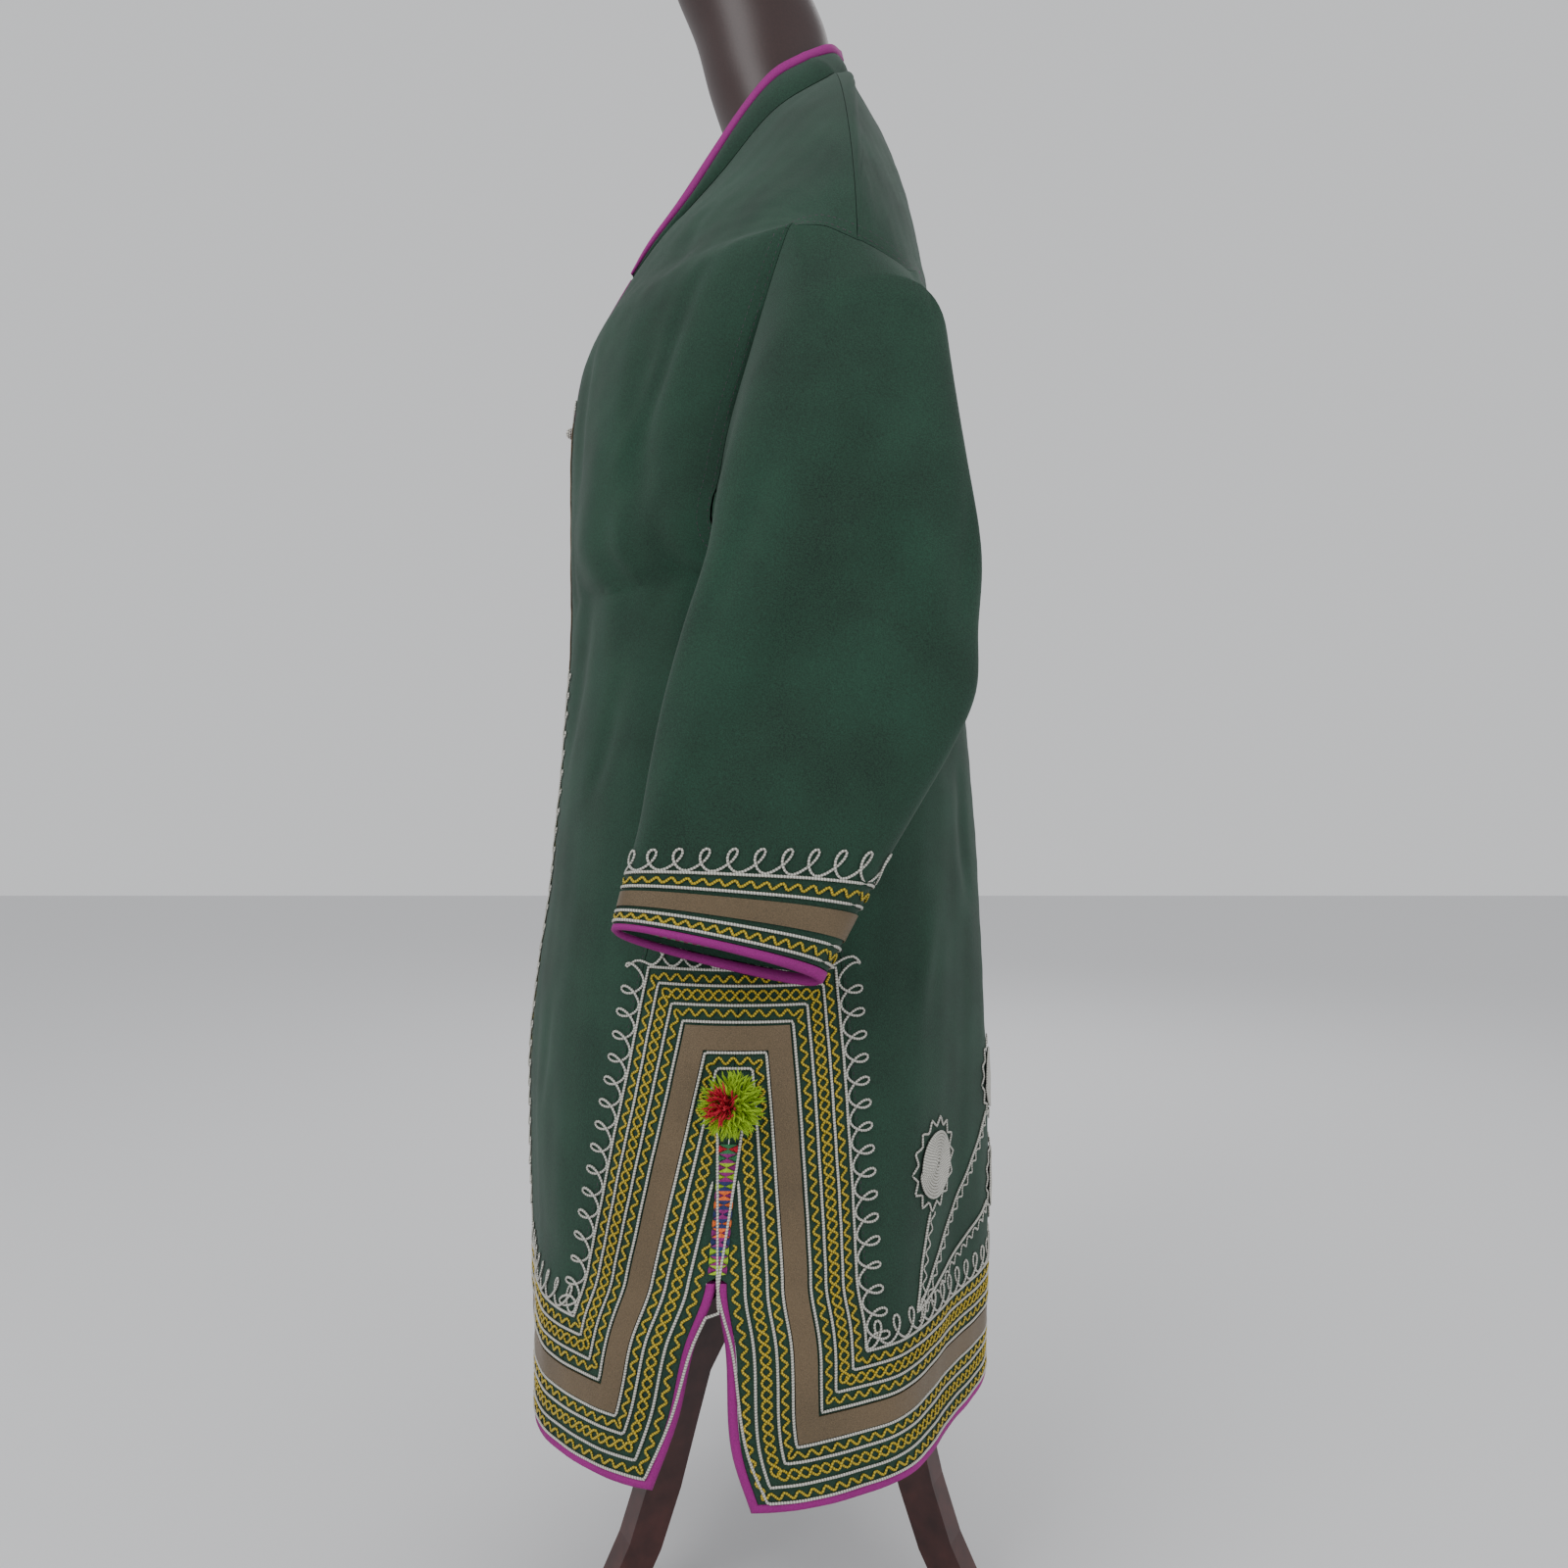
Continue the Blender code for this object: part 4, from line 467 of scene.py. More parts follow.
def pull_in(points, row, column, amount):
    """Moves a boundary line of a grid this far towards its neighbour line."""
    if row is not None:
        neighbour = row + 1 if row == 0 else row - 1
        points[row] += unit(points[neighbour] - points[row]) * amount
    else:
        neighbour = column + 1 if column == 0 else column - 1
        points[:, column] += unit(points[:, neighbour] - points[:, column]) * amount


def sleeve_rings(w):
    """Middle, half width towards the back and half thickness towards the outer face of each ring."""
    front_y, front_z, back_y, back_z, middle_x, out_x, out_y, out_z = spline(SLEEVE_RINGS, w).T
    middle = np.stack([middle_x, (front_y + back_y) / 2, (front_z + back_z) / 2], axis=1)
    across = np.stack([np.zeros_like(w), (back_y - front_y) / 2, (back_z - front_z) / 2], axis=1)
    return middle, across, np.stack([out_x, out_y, out_z], axis=1)


def sleeve_point(angle, w):
    """Points of the sleeve's outer face at these angles (radians) and distances above the cuff."""
    angle, w = np.broadcast_arrays(np.asarray(angle, float), np.asarray(w, float))
    shape = angle.shape
    angle, w = angle.ravel(), w.ravel()
    middle, across, out = sleeve_rings(w)
    c = np.sign(np.cos(angle)) * np.abs(np.cos(angle)) ** SLEEVE_SQUARE
    s = np.sign(np.sin(angle)) * np.abs(np.sin(angle)) ** SLEEVE_SQUARE
    rise = np.zeros(len(w))
    for low_angle, low_w, high_angle, high_w, width, depth in SLEEVE_FOLDS:
        v = (w - low_w) / (high_w - low_w)
        at = np.radians(low_angle + (high_angle - low_angle) * v)
        turn = (angle - at + math.pi) % (2 * math.pi) - math.pi
        fade = np.sin(np.clip(v, 0, 1) * math.pi)
        rise += depth * fade * np.exp(-((turn / math.radians(width)) ** 2))
    points = middle + across * c[:, None] + out * s[:, None]
    away = unit(np.stack([np.abs(s) * np.sign(s), c * 0.3, np.zeros_like(s)], axis=1))
    return (points + away * rise[:, None]).reshape(*shape, 3)


def armhole():
    """The seam's samples in order from the top, down the back and up the front, with body directions."""
    back_rows = upper_rows(BACK)[::-1]
    front_rows = upper_rows(FRONT)
    corner = GORE_WIDTHS[-1]
    places = [(BACK, BACK.length(up)[0], up) for up in back_rows]
    places += [(BACK, BACK.length(BACK.underarm)[0] - corner, BACK.underarm)]
    places += [(FRONT, FRONT.length(FRONT.underarm)[0], FRONT.underarm)]
    places += [(FRONT, FRONT.length(FRONT.underarm)[0] - corner, FRONT.underarm)]
    places += [(FRONT, FRONT.length(up)[0], up) for up in front_rows[:-1] if up != BIND_END]
    points, normals, leaving = [], [], []
    for half, across, up in places:
        point, normal = half.place(np.array([across]), np.array([up]))
        if up <= half.underarm + 1e-9:
            before = half.point(np.array([across]), np.array([up - 0.01]))
        else:
            before = half.point(np.array([across - 0.01]), np.array([up]))
        points.append(point[0])
        normals.append(normal[0])
        leaving.append(unit(point[0] - before[0]))
    return np.array(points), np.array(normals), np.array(leaving)


ARMHOLE, ARMHOLE_NORMALS, ARMHOLE_LEAVING = armhole()


def sleeve_angles():
    """Angle of each armhole sample: 90 degrees at the top, -90 at the underarm."""
    steps = np.linalg.norm(np.roll(ARMHOLE, -1, axis=0) - ARMHOLE, axis=1)
    run = np.concatenate([[0.0], np.cumsum(steps)])
    low = len(BACK_UPPER) + 1
    back = run[: low + 1] / run[low]
    front = (run[low:-1] - run[low]) / (run[-1] - run[low])
    degrees = np.concatenate([90 - 180 * back, -90 - 180 * front[1:]])
    return np.radians(degrees)


ANGLES = sleeve_angles()


def seam_directions():
    """At each armhole sample, the way the body's and the sleeve's thickness run, and half their gap."""
    first = sleeve_point(ANGLES, np.full(len(ANGLES), SLEEVE_ROWS[0]))
    starting = unit(first - ARMHOLE)
    around = unit(np.roll(ARMHOLE, -1, axis=0) - np.roll(ARMHOLE, 1, axis=0))
    sleeve_out = unit(np.cross(around, starting))
    middle = ARMHOLE.mean(axis=0)
    sleeve_out *= np.sign(np.sum(sleeve_out * (first - first.mean(axis=0)), axis=1, keepdims=True))
    alike = np.sum(ARMHOLE_NORMALS * sleeve_out, axis=1, keepdims=True)
    apart = np.maximum(0.0, -alike)
    inward = unit(-(ARMHOLE_NORMALS + sleeve_out) + apart * (ARMHOLE_LEAVING - starting))
    inward = unit(inward + 0.2 * unit(middle - ARMHOLE))
    body_in = unit(inward - apart * ARMHOLE_NORMALS)
    sleeve_in = unit(inward - apart * sleeve_out)
    across = unit(np.cross(around, inward))
    across *= np.sign(np.sum(across * (starting - ARMHOLE_LEAVING * 0.2), axis=1, keepdims=True))
    return body_in, sleeve_in, across * (SEAM_GAP / 2) * (1.2 + 2.5 * np.maximum(0.0, 0.4 - alike))


BODY_IN, SLEEVE_IN, SEAM_ACROSS = seam_directions()


def front_sample(up):
    """Number of the armhole sample at a row of the front panel."""
    rows = [row for row in FRONT_UPPER if row != BIND_END]
    first = len(BACK_UPPER) + 3
    return 0 if up == rows[-1] else first + rows.index(up)


def back_sample(up):
    return len(BACK_UPPER) - 1 - list(BACK_UPPER).index(up)


def fit_to_armhole(outer, inner, row, column, sample):
    """Ends a panel's grid on the armhole seam, with the seam's own thickness and gap."""
    outer[row, column] = ARMHOLE[sample] - SEAM_ACROSS[sample]
    inner[row, column] = outer[row, column] + BODY_IN[sample] * CLOTH


def panel_grids(half, sample_of, corner_sample):
    """Outer and inner grids of one half panel."""
    lower, upper = skirt_rows(half), upper_rows(half)
    rows = np.concatenate([lower, upper])
    outer, normals = grid_of(half, rows, panel_columns)
    normals[-1] = shoulder_normals()
    low_count = len(lower)
    seam = outer[:low_count]
    pull_in(seam, None, -1, SEAM_GAP / 2)
    pull_in(outer, -1, None, SEAM_GAP / 2)
    inner = outer - normals * CLOTH
    fit_to_armhole(outer, inner, low_count - 1, -1, corner_sample)
    for i, up in enumerate(upper):
        if up != BIND_END:
            fit_to_armhole(outer, inner, low_count + i, -1, sample_of(up))
    if half is FRONT:
        # The binding's last row has no sample of its own, and lies between its neighbours
        i = low_count + list(FRONT_UPPER).index(BIND_END)
        part = (BIND_END - FRONT_UPPER[i - low_count - 1]) / (COLLAR_START - FRONT_UPPER[i - low_count - 1])
        for grid in (outer, inner):
            grid[i, -1] = grid[i - 1, -1] * (1 - part) + grid[i + 1, -1] * part
    return outer, inner


def sleeve_grid(rows):
    angles, heights = np.meshgrid(ANGLES, np.asarray(rows, float))
    return sleeve_point(angles, heights)


def sleeve_place(rows):
    """Sleeve points and outward directions at these distances above the cuff."""
    rows = np.asarray(rows, float)
    grid = sleeve_grid(rows)
    inside = sleeve_rings(rows)[0]
    along = sleeve_grid(np.minimum(rows + NUDGE, SLEEVE_ROWS[0])) - sleeve_grid(np.maximum(rows - NUDGE, 0))
    around = np.roll(grid, -1, axis=1) - np.roll(grid, 1, axis=1)
    normals = unit(np.cross(around, along))
    normals *= np.sign(np.sum(normals * (grid - inside[:, None, :]), axis=2, keepdims=True))
    return grid, normals


def bound_sections(outline, inner, normals):
    """Sections of a binding folded over an edge, from its outline to where the panel starts."""
    near = outline * 0.75 + inner * 0.25
    under = CLOTH + BIND_PROUD
    return np.stack([
        inner + normals * BIND_PROUD,
        near + normals * BIND_PROUD,
        outline - normals * CLOTH / 2,
        near - normals * under,
        inner - normals * under,
    ], axis=1)


def places_on(half, places):
    across = np.array([place[0] for place in places])
    up = np.array([place[1] for place in places])
    return half.place(across, up)


def hem_columns(half, keep_from=0.0):
    """Places along a hem, from the inner edge to the slit, at the panels' own lines."""
    panel = panel_columns(half, BIND)
    gore = gore_columns(half, BIND)
    columns = np.concatenate([panel, gore[1:]])
    return [value for value in columns if value > keep_from + 1e-9]


def front_binding_pairs():
    """Outline and inner places of the front's binding: down the edge, along the hem, up the slit."""
    width = BIND - 0.0003
    slit_rows = [up for up in skirt_rows(FRONT) if FRONT_HEM + up <= SLIT_TOP + 1e-9]
    edge_rows = [up for up in (*skirt_rows(FRONT), *FRONT_UPPER) if up <= BIND_END + 1e-9]
    pairs = [((0.0, up), (width, up)) for up in edge_rows[:0:-1]]
    pairs += [((0.0, BIND), (width, BIND)), ((0.0, 0.0), (width, width))]
    for across in hem_columns(FRONT)[:-1]:
        pairs.append(((across, 0.0), (across, width)))
    return pairs + slit_pairs(FRONT, slit_rows, width)


def slit_pairs(half, rows, width):
    """The binding's corner at the hem and its run up the slit."""
    length = half.length(0.0)[0]
    near = half.length(width)[0]
    pairs = [((length, 0.0), (near - width, width))]
    for up in rows:
        length = half.length(up)[0]
        pairs.append(((length, up), (length - width, up)))
    return pairs


def hem_middle(width):
    outline = places_on(BACK, [(0.0, 0.0)])[0]
    inner, normals = places_on(BACK, [(0.0, width)])
    outline[:, 0] = inner[:, 0] = normals[:, 0] = 0.0
    return outline, inner, normals


def collar_lines():
    """Base and top of the collar's left half, from its front end to the middle of the back."""
    front_ups = [up for up in FRONT_UPPER if up >= COLLAR_START - 1e-9]
    back_ups = [up for up in BACK_UPPER if up >= BACK_NECK - 1e-9][-2::-1]
    base = np.concatenate([
        FRONT.point(0.0, np.array(front_ups)),
        BACK.point(0.0, np.array(back_ups)),
    ])
    top = np.concatenate([spline(COLLAR_FRONT, front_ups), spline(COLLAR_BACK, back_ups)])
    return base, top


# Sizes of the scene's own pieces
CORD = 0.0021
RICRAC_WAVE = (0.0096, 0.0021, 0.0020)  # length of a wave, half its height, width of the braid
CHAIN_WAVE = (0.0150, 0.0033, 0.0019)
LOOP_WAVE = (0.0160, 0.0180, 0.0058)  # spacing, height, how far each loop swings back
SIDE_CORDS = (0.0078, 0.0189, 0.0339, 0.0442, 0.0644, 0.0755, 0.0884, 0.0989)
SIDE_RICRACS = (0.0125, 0.0388, 0.0702, 0.0930)
SIDE_CHAINS = (0.0264, 0.0820)
SIDE_LOOPS = 0.1000
OPEN_LINES = 0.0345  # lines nearer the slit than this end beside the strip and pompom
EDGE_CORDS = (0.0104, 0.0200, 0.0437, 0.0563)
EDGE_RICRACS = (0.0146, 0.0494)
EDGE_LOOPS = 0.0575
EDGE_OUTER_TOP = 0.570
CUFF_SEAM = math.radians(24.0)
PHOTO_FOCAL = 1160.0  # in pixels of the 1600 frame
PHOTO_SIZE = 1600.0
CAMERA_AT = (1.02, SHIFT_Y, 0.69)

# Soft creases of the worn cloth. Columns as in the fold tables
FRONT_CREASES = (
    (0.70, 0.735, 0.76, 0.855, 0.010, -0.0042, 0),
    (0.60, 0.700, 0.72, 0.800, 0.009, 0.0024, 0),
    (0.80, 0.560, 0.84, 0.690, 0.011, -0.0046, 0),
    (0.50, 0.450, 0.62, 0.560, 0.010, -0.0030, 0),
    (0.66, 0.600, 0.70, 0.690, 0.010, 0.0028, 0),
    (0.40, 0.220, 0.46, 0.330, 0.012, -0.0026, 0),
    (0.24, 0.600, 0.34, 0.700, 0.010, -0.0022, 0),
    (0.55, 0.860, 0.42, 0.960, 0.012, -0.0024, 0),
)
BACK_CREASES = (
    (0.72, 0.600, 0.60, 0.740, 0.012, -0.0040, 0),
    (0.55, 0.640, 0.66, 0.780, 0.010, 0.0026, 0),
    (0.28, 0.380, 0.36, 0.520, 0.013, -0.0030, 0),
    (0.60, 0.300, 0.52, 0.420, 0.012, 0.0024, 0),
    (0.35, 0.800, 0.22, 0.930, 0.012, -0.0026, 0),
    (0.80, 0.760, 0.62, 0.880, 0.011, -0.0030, 0),
)
EDGE_FADE = 0.030
SLEEVE_CREASES = (
    (100.0, 0.255, 70.0, 0.345, 9.0, -0.0032),
    (60.0, 0.190, 84.0, 0.290, 8.0, -0.0026),
    (112.0, 0.150, 96.0, 0.250, 7.0, -0.0022),
    (76.0, 0.075, 92.0, 0.170, 8.0, 0.0020),
    (36.0, 0.210, 28.0, 0.320, 9.0, -0.0030),
    (140.0, 0.200, 124.0, 0.320, 8.0, -0.0028),
)


def wander(a, b):
    """Slow uneven swell of hand-sewn cloth, about -1 to 1."""
    return (
        np.sin(a * 61 + b * 23 + 1.3) * np.sin(b * 47 - a * 19 + 0.4) * 0.6
        + np.sin(a * 139 - b * 88 + 2.1) * np.sin(b * 121 + a * 57) * 0.4
    )


def creased(half, creases):
    """Adds creases and a slight swell to a half panel, faded out towards its seams."""
    folds_only = half.fold_rise

    def rise(across, up):
        length = half.length(up)
        edge = np.clip(np.minimum(across, length - across) / EDGE_FADE, 0, 1)
        edge = edge * np.clip((half.top - up) / EDGE_FADE, 0, 1)
        extra = 0.0007 * wander(across, up)
        for low_at, low_up, high_at, high_up, width, depth, _ in creases:
            v = (up - low_up) / (high_up - low_up)
            at = (low_at + (high_at - low_at) * v + 0.012 * np.sin(v * 5.0)) * length
            extra = extra + depth * np.sin(np.clip(v, 0, 1) * math.pi) * np.exp(-(((across - at) / width) ** 2))
        return folds_only(across, up) + extra * edge * edge * (3 - 2 * edge)

    half.fold_rise = rise


class Strands:
    """Many thin strands that become one mesh."""

    def __init__(self):
        self.points, self.faces, self.charts = [], [], []
        self.count = 0

    def add(self, line, out, width, height=None, sides=6):
        """A strand along a line of points; out is the direction off the cloth at each."""
        height = width if height is None else height
        count = len(line)
        along = unit(np.gradient(line, axis=0))
        out = unit(out - along * np.sum(out * along, axis=1, keepdims=True))
        side = np.cross(along, out)
        turn = np.linspace(0, 2 * math.pi, sides, endpoint=False)
        size = np.ones(count)
        size[[0, -1]] = 0.12
        ring = (
            side[:, None] * (np.cos(turn) * width / 2)[None, :, None]
            + out[:, None] * (np.sin(turn) * height / 2)[None, :, None]
        )
        self.points.append((line[:, None] + ring * size[:, None, None]).reshape(-1, 3))
        run = np.concatenate([[0.0], np.cumsum(np.linalg.norm(np.diff(line, axis=0), axis=1))])
        i, j = np.meshgrid(np.arange(count - 1), np.arange(sides), indexing="ij")
        i, j = i.ravel(), j.ravel()
        k = (j + 1) % sides
        quads = np.stack([i * sides + j, i * sides + k, (i + 1) * sides + k, (i + 1) * sides + j], axis=1)
        self.faces.append(quads + self.count)
        around = np.stack([j, j + 1, j + 1, j], axis=1) / sides
        self.charts.append(np.stack([run[np.stack([i, i, i + 1, i + 1], axis=1)], around], axis=2))
        self.count += count * sides

    def make(self, name, finish, mirror=False):
        points = np.concatenate(self.points)
        faces = np.concatenate(self.faces)
        charts = np.concatenate(self.charts)
        if mirror:
            points = points * MIRROR
            faces, charts = faces[:, ::-1], charts[:, ::-1]
        return add_piece(name, points, faces, charts, finish)


def add_piece(name, points, faces, charts, finish, flat=False):
    """A mesh from arrays: points in the tables' frame, faces of four corners, a chart place for each corner."""
    mesh = bpy.data.meshes.new(name)
    mesh.vertices.add(len(points))
    mesh.vertices.foreach_set("co", (np.asarray(points) + (0.0, SHIFT_Y, 0.0)).ravel())
    faces = np.asarray(faces)
    mesh.loops.add(faces.size)
    mesh.loops.foreach_set("vertex_index", faces.ravel())
    mesh.polygons.add(len(faces))
    mesh.polygons.foreach_set("loop_start", np.arange(0, faces.size, faces.shape[1]))
    layer = mesh.uv_layers.new(name="chart")
    layer.data.foreach_set("uv", np.asarray(charts, float).ravel())
    mesh.update(calc_edges=True)
    mesh.validate()
    if flat:
        mesh.shade_flat()
    else:
        mesh.shade_smooth()
    mesh.materials.append(MATERIALS[finish])
    piece = bpy.data.objects.new(name, mesh)
    bpy.context.scene.collection.objects.link(piece)
    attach(piece, "root")
    return piece


def walled(name, sheets, finish, ring=False):
    """A closed wall from sheets, each a grid of outer points and a matching grid of inner points."""
    found, points, faces, charts = {}, [], [], []

    def index(point, layer):
        key = (layer, round(point[0] * 1e6), round(point[1] * 1e6), round(point[2] * 1e6))
        if key not in found:
            found[key] = len(points)
            points.append(point)
        return found[key]

    inner_of = {}
    for outer, inner in sheets:
        rows, columns = outer.shape[:2]
        around = np.roll(outer, -1, axis=1) - outer
        across = np.concatenate([[0.0], np.cumsum(np.linalg.norm(around, axis=2).mean(axis=0))])
        upward = np.linalg.norm(np.diff(outer, axis=0), axis=2).mean(axis=1)
        up = np.concatenate([[0.0], np.cumsum(upward)])
        turned = outer[0, 0, 0] + outer[0, -1, 0] < 0
        top = [[index(tuple(p), 0) for p in row] for row in outer.tolist()]
        low = [[index(tuple(p), 1) for p in row] for row in inner.tolist()]
        for i in range(rows - 1):
            for j in range(columns if ring else columns - 1):
                k = (j + 1) % columns
                face = [top[i][j], top[i][k], top[i + 1][k], top[i + 1][j]]
                chart = [(across[j], up[i]), (across[j + 1], up[i]), (across[j + 1], up[i + 1]), (across[j], up[i + 1])]
                for a, b in ((i, j), (i, k), (i + 1, k), (i + 1, j)):
                    inner_of[top[a][b]] = low[a][b]
                if turned:
                    face, chart = face[::-1], chart[::-1]
                faces.append(face)
                charts.append(chart)
    outside = len(faces)
    for face, chart in zip(faces[:outside], charts[:outside]):
        faces.append([inner_of[i] for i in reversed(face)])
        charts.append(chart[::-1])
    edges = {}
    for number, face in enumerate(faces[:outside]):
        for corner in range(4):
            u, v = face[corner], face[(corner + 1) % 4]
            edges.setdefault((min(u, v), max(u, v)), []).append((u, v, number, corner))
    for held in edges.values():
        if len(held) == 1:
            u, v, number, corner = held[0]
            one, other = charts[number][corner], charts[number][(corner + 1) % 4]
            faces.append([v, u, inner_of[u], inner_of[v]])
            charts.append([other, one, one, other])
    piece = add_piece(name, points, faces, charts, finish)
    piece.data.set_sharp_from_angle(angle=math.radians(50))
    return piece


def band(name, sections, finish, closed=False):
    """A bar through sections, each the same number of points round it."""
    count, sides = sections.shape[:2]
    last = count if closed else count - 1
    i, j = np.meshgrid(np.arange(last), np.arange(sides), indexing="ij")
    i, j = i.ravel(), j.ravel()
    n, k = (i + 1) % count, (j + 1) % sides
    faces = np.stack([i * sides + j, i * sides + k, n * sides + k, n * sides + j], axis=1)
    middle = sections.mean(axis=1)
    steps = np.linalg.norm(np.roll(middle, -1, axis=0) - middle, axis=1)
    run = np.concatenate([[0.0], np.cumsum(steps)])
    around = np.stack([j, j + 1, j + 1, j], axis=1) / sides
    charts = np.stack([run[np.stack([i, i, i + 1, i + 1], axis=1)], around], axis=2)
    return add_piece(name, sections.reshape(-1, 3), faces, charts, finish)


def both_sides(make, name, shapes, finish, **options):
    """Makes a piece on the left and its mirror on the right, and returns both."""
    left = make(name + "_left", shapes, finish, **options)
    if isinstance(shapes, list):
        mirrored = [(outer * MIRROR, inner * MIRROR) for outer, inner in shapes]
    else:
        mirrored = shapes[:, ::-1] * MIRROR
    return left, make(name + "_right", mirrored, finish, **options)


def walk(path, step):
    """The same line in even steps, and the distance along it of each."""
    path = np.asarray(path, float)
    run = np.concatenate([[0.0], np.cumsum(np.linalg.norm(np.diff(path, axis=0), axis=1))])
    count = max(2, math.ceil(run[-1] / step))
    at = np.linspace(0, run[-1], count + 1)
    return np.stack([np.interp(at, run, path[:, i]) for i in range(path.shape[1])], axis=1), at


def beside(path, away, along=0.0):
    """A flat line moved sideways and along by these amounts, rounded at its corners."""
    tangent = np.gradient(path, axis=0)
    soft = np.ones(7) / 7
    padded = np.pad(tangent, ((3, 3), (0, 0)), mode="edge")
    tangent = np.stack([np.convolve(padded[:, i], soft, mode="valid") for i in (0, 1)], axis=1)
    tangent = unit(tangent)
    side = np.stack([-tangent[:, 1], tangent[:, 0]], axis=1)
    return path + side * np.reshape(away, (-1, 1)) + tangent * np.reshape(along, (-1, 1))


def around_side(places):
    """Points and outward directions at (metres behind the side seam, height)."""
    u, z = places[:, 0], places[:, 1]
    points, out = np.empty((len(u), 3)), np.empty((len(u), 3))
    for half, chosen in ((FRONT, u < 0), (BACK, u >= 0)):
        if chosen.any():
            up = z[chosen] - half.hem
            points[chosen], out[chosen] = half.place(half.length(up) - np.abs(u[chosen]), up)
    return points, out


def on_front(places):
    return FRONT.place(places[:, 0], places[:, 1])


def on_back(places):
    return BACK.place(places[:, 0], places[:, 1])


CUFF_RING = np.radians(np.linspace(0, 360, 241)) + CUFF_SEAM
CUFF_LINE = sleeve_point(CUFF_RING, np.full(len(CUFF_RING), 0.030))
CUFF_RUN = np.concatenate([[0.0], np.cumsum(np.linalg.norm(np.diff(CUFF_LINE, axis=0), axis=1))])


def around_cuff(places):
    """Points and outward directions at (metres round from the sleeve seam, metres above the cuff)."""
    angle = np.interp(places[:, 0] % CUFF_RUN[-1], CUFF_RUN, CUFF_RING)
    w = places[:, 1]
    points = sleeve_point(angle, w)
    turned = sleeve_point(angle + 0.03, w) - sleeve_point(angle - 0.03, w)
    raised = sleeve_point(angle, w + NUDGE) - sleeve_point(angle, np.maximum(w - NUDGE, 0))
    out = unit(np.cross(turned, raised))
    out *= np.sign(np.sum(out * (points - sleeve_rings(w)[0]), axis=1, keepdims=True))
    return points, out


def straight(strands, place, path, width=CORD, lift=0.0008):
    line, _ = walk(path, 0.0030)
    points, out = place(line)
    strands.add(points + out * (lift + width * 0.15), out, width, width * 0.8)


def waved(strands, place, path, wave, phase=0.0, lift=0.0009):
    length, half_height, width = wave
    line, at = walk(path, 0.0012)
    turn = 2 * math.pi * at / length + phase
    moved = beside(line, half_height * np.sin(turn))
    points, out = place(moved)
    crossing = 0.0004 * np.cos(turn)
    strands.add(points + out * (lift + crossing)[:, None], out, width, width * 0.62, sides=5)


def looped(strands, place, path, wave=LOOP_WAVE, lift=0.0011):
    """A cord that runs up into a small crossed loop and back down, again and again."""
    spacing, height, swing = wave
    line, at = walk(path, 0.0010)
    count = max(1, round(at[-1] / spacing))
    turn = 2 * math.pi * at / at[-1] * count
    rise = height * (0.5 - 0.5 * np.cos(turn)) ** 0.8
    moved = beside(line, rise, along=swing * np.sin(turn))
    points, out = place(moved)
    crossing = 0.0006 * np.sin(turn)
    strands.add(points + out * (lift + crossing)[:, None], out, 0.0019, 0.0016, sides=5)


def side_path(d, start):
    """Line of trim d metres in from the hem and slit, from the front edge to the middle of the back."""
    top, steps = ARCH_BASE + d, 60
    front, back = FRONT_HEM + d, BACK_HEM + d
    up_front, down_back = np.linspace(front, top, steps), np.linspace(top, back, steps)
    reach = float(side_line(d, top))
    far, near = FRONT.length(d)[0] - start, BACK.length(d)[0]
    runs = (
        (np.linspace(-far, -float(side_line(d, front)), steps), np.full(steps, front)),
        (-side_line(d, up_front), up_front),
        (np.linspace(-reach, reach, 31), np.full(31, top)),
        (side_line(d, down_back), down_back),
        (np.linspace(float(side_line(d, back)), near, steps), np.full(steps, back)),
    )
    return [np.stack(run, axis=1) for run in runs]


def side_paths(d, start):
    """The line as one path, or as two that end beside the strip and the pompom."""
    runs = side_path(d, start)
    if d > OPEN_LINES - 0.001:
        return [np.concatenate([runs[0], *(run[1:] for run in runs[1:])])]
    def kept(run):
        return run[(np.abs(run[:, 0]) > STRIP_HALF + 0.0015) & (run[:, 1] < POMPOM_Z)]
    return [np.concatenate([runs[0], kept(runs[1])[1:]]), np.concatenate([kept(runs[3]), runs[4][1:]])]


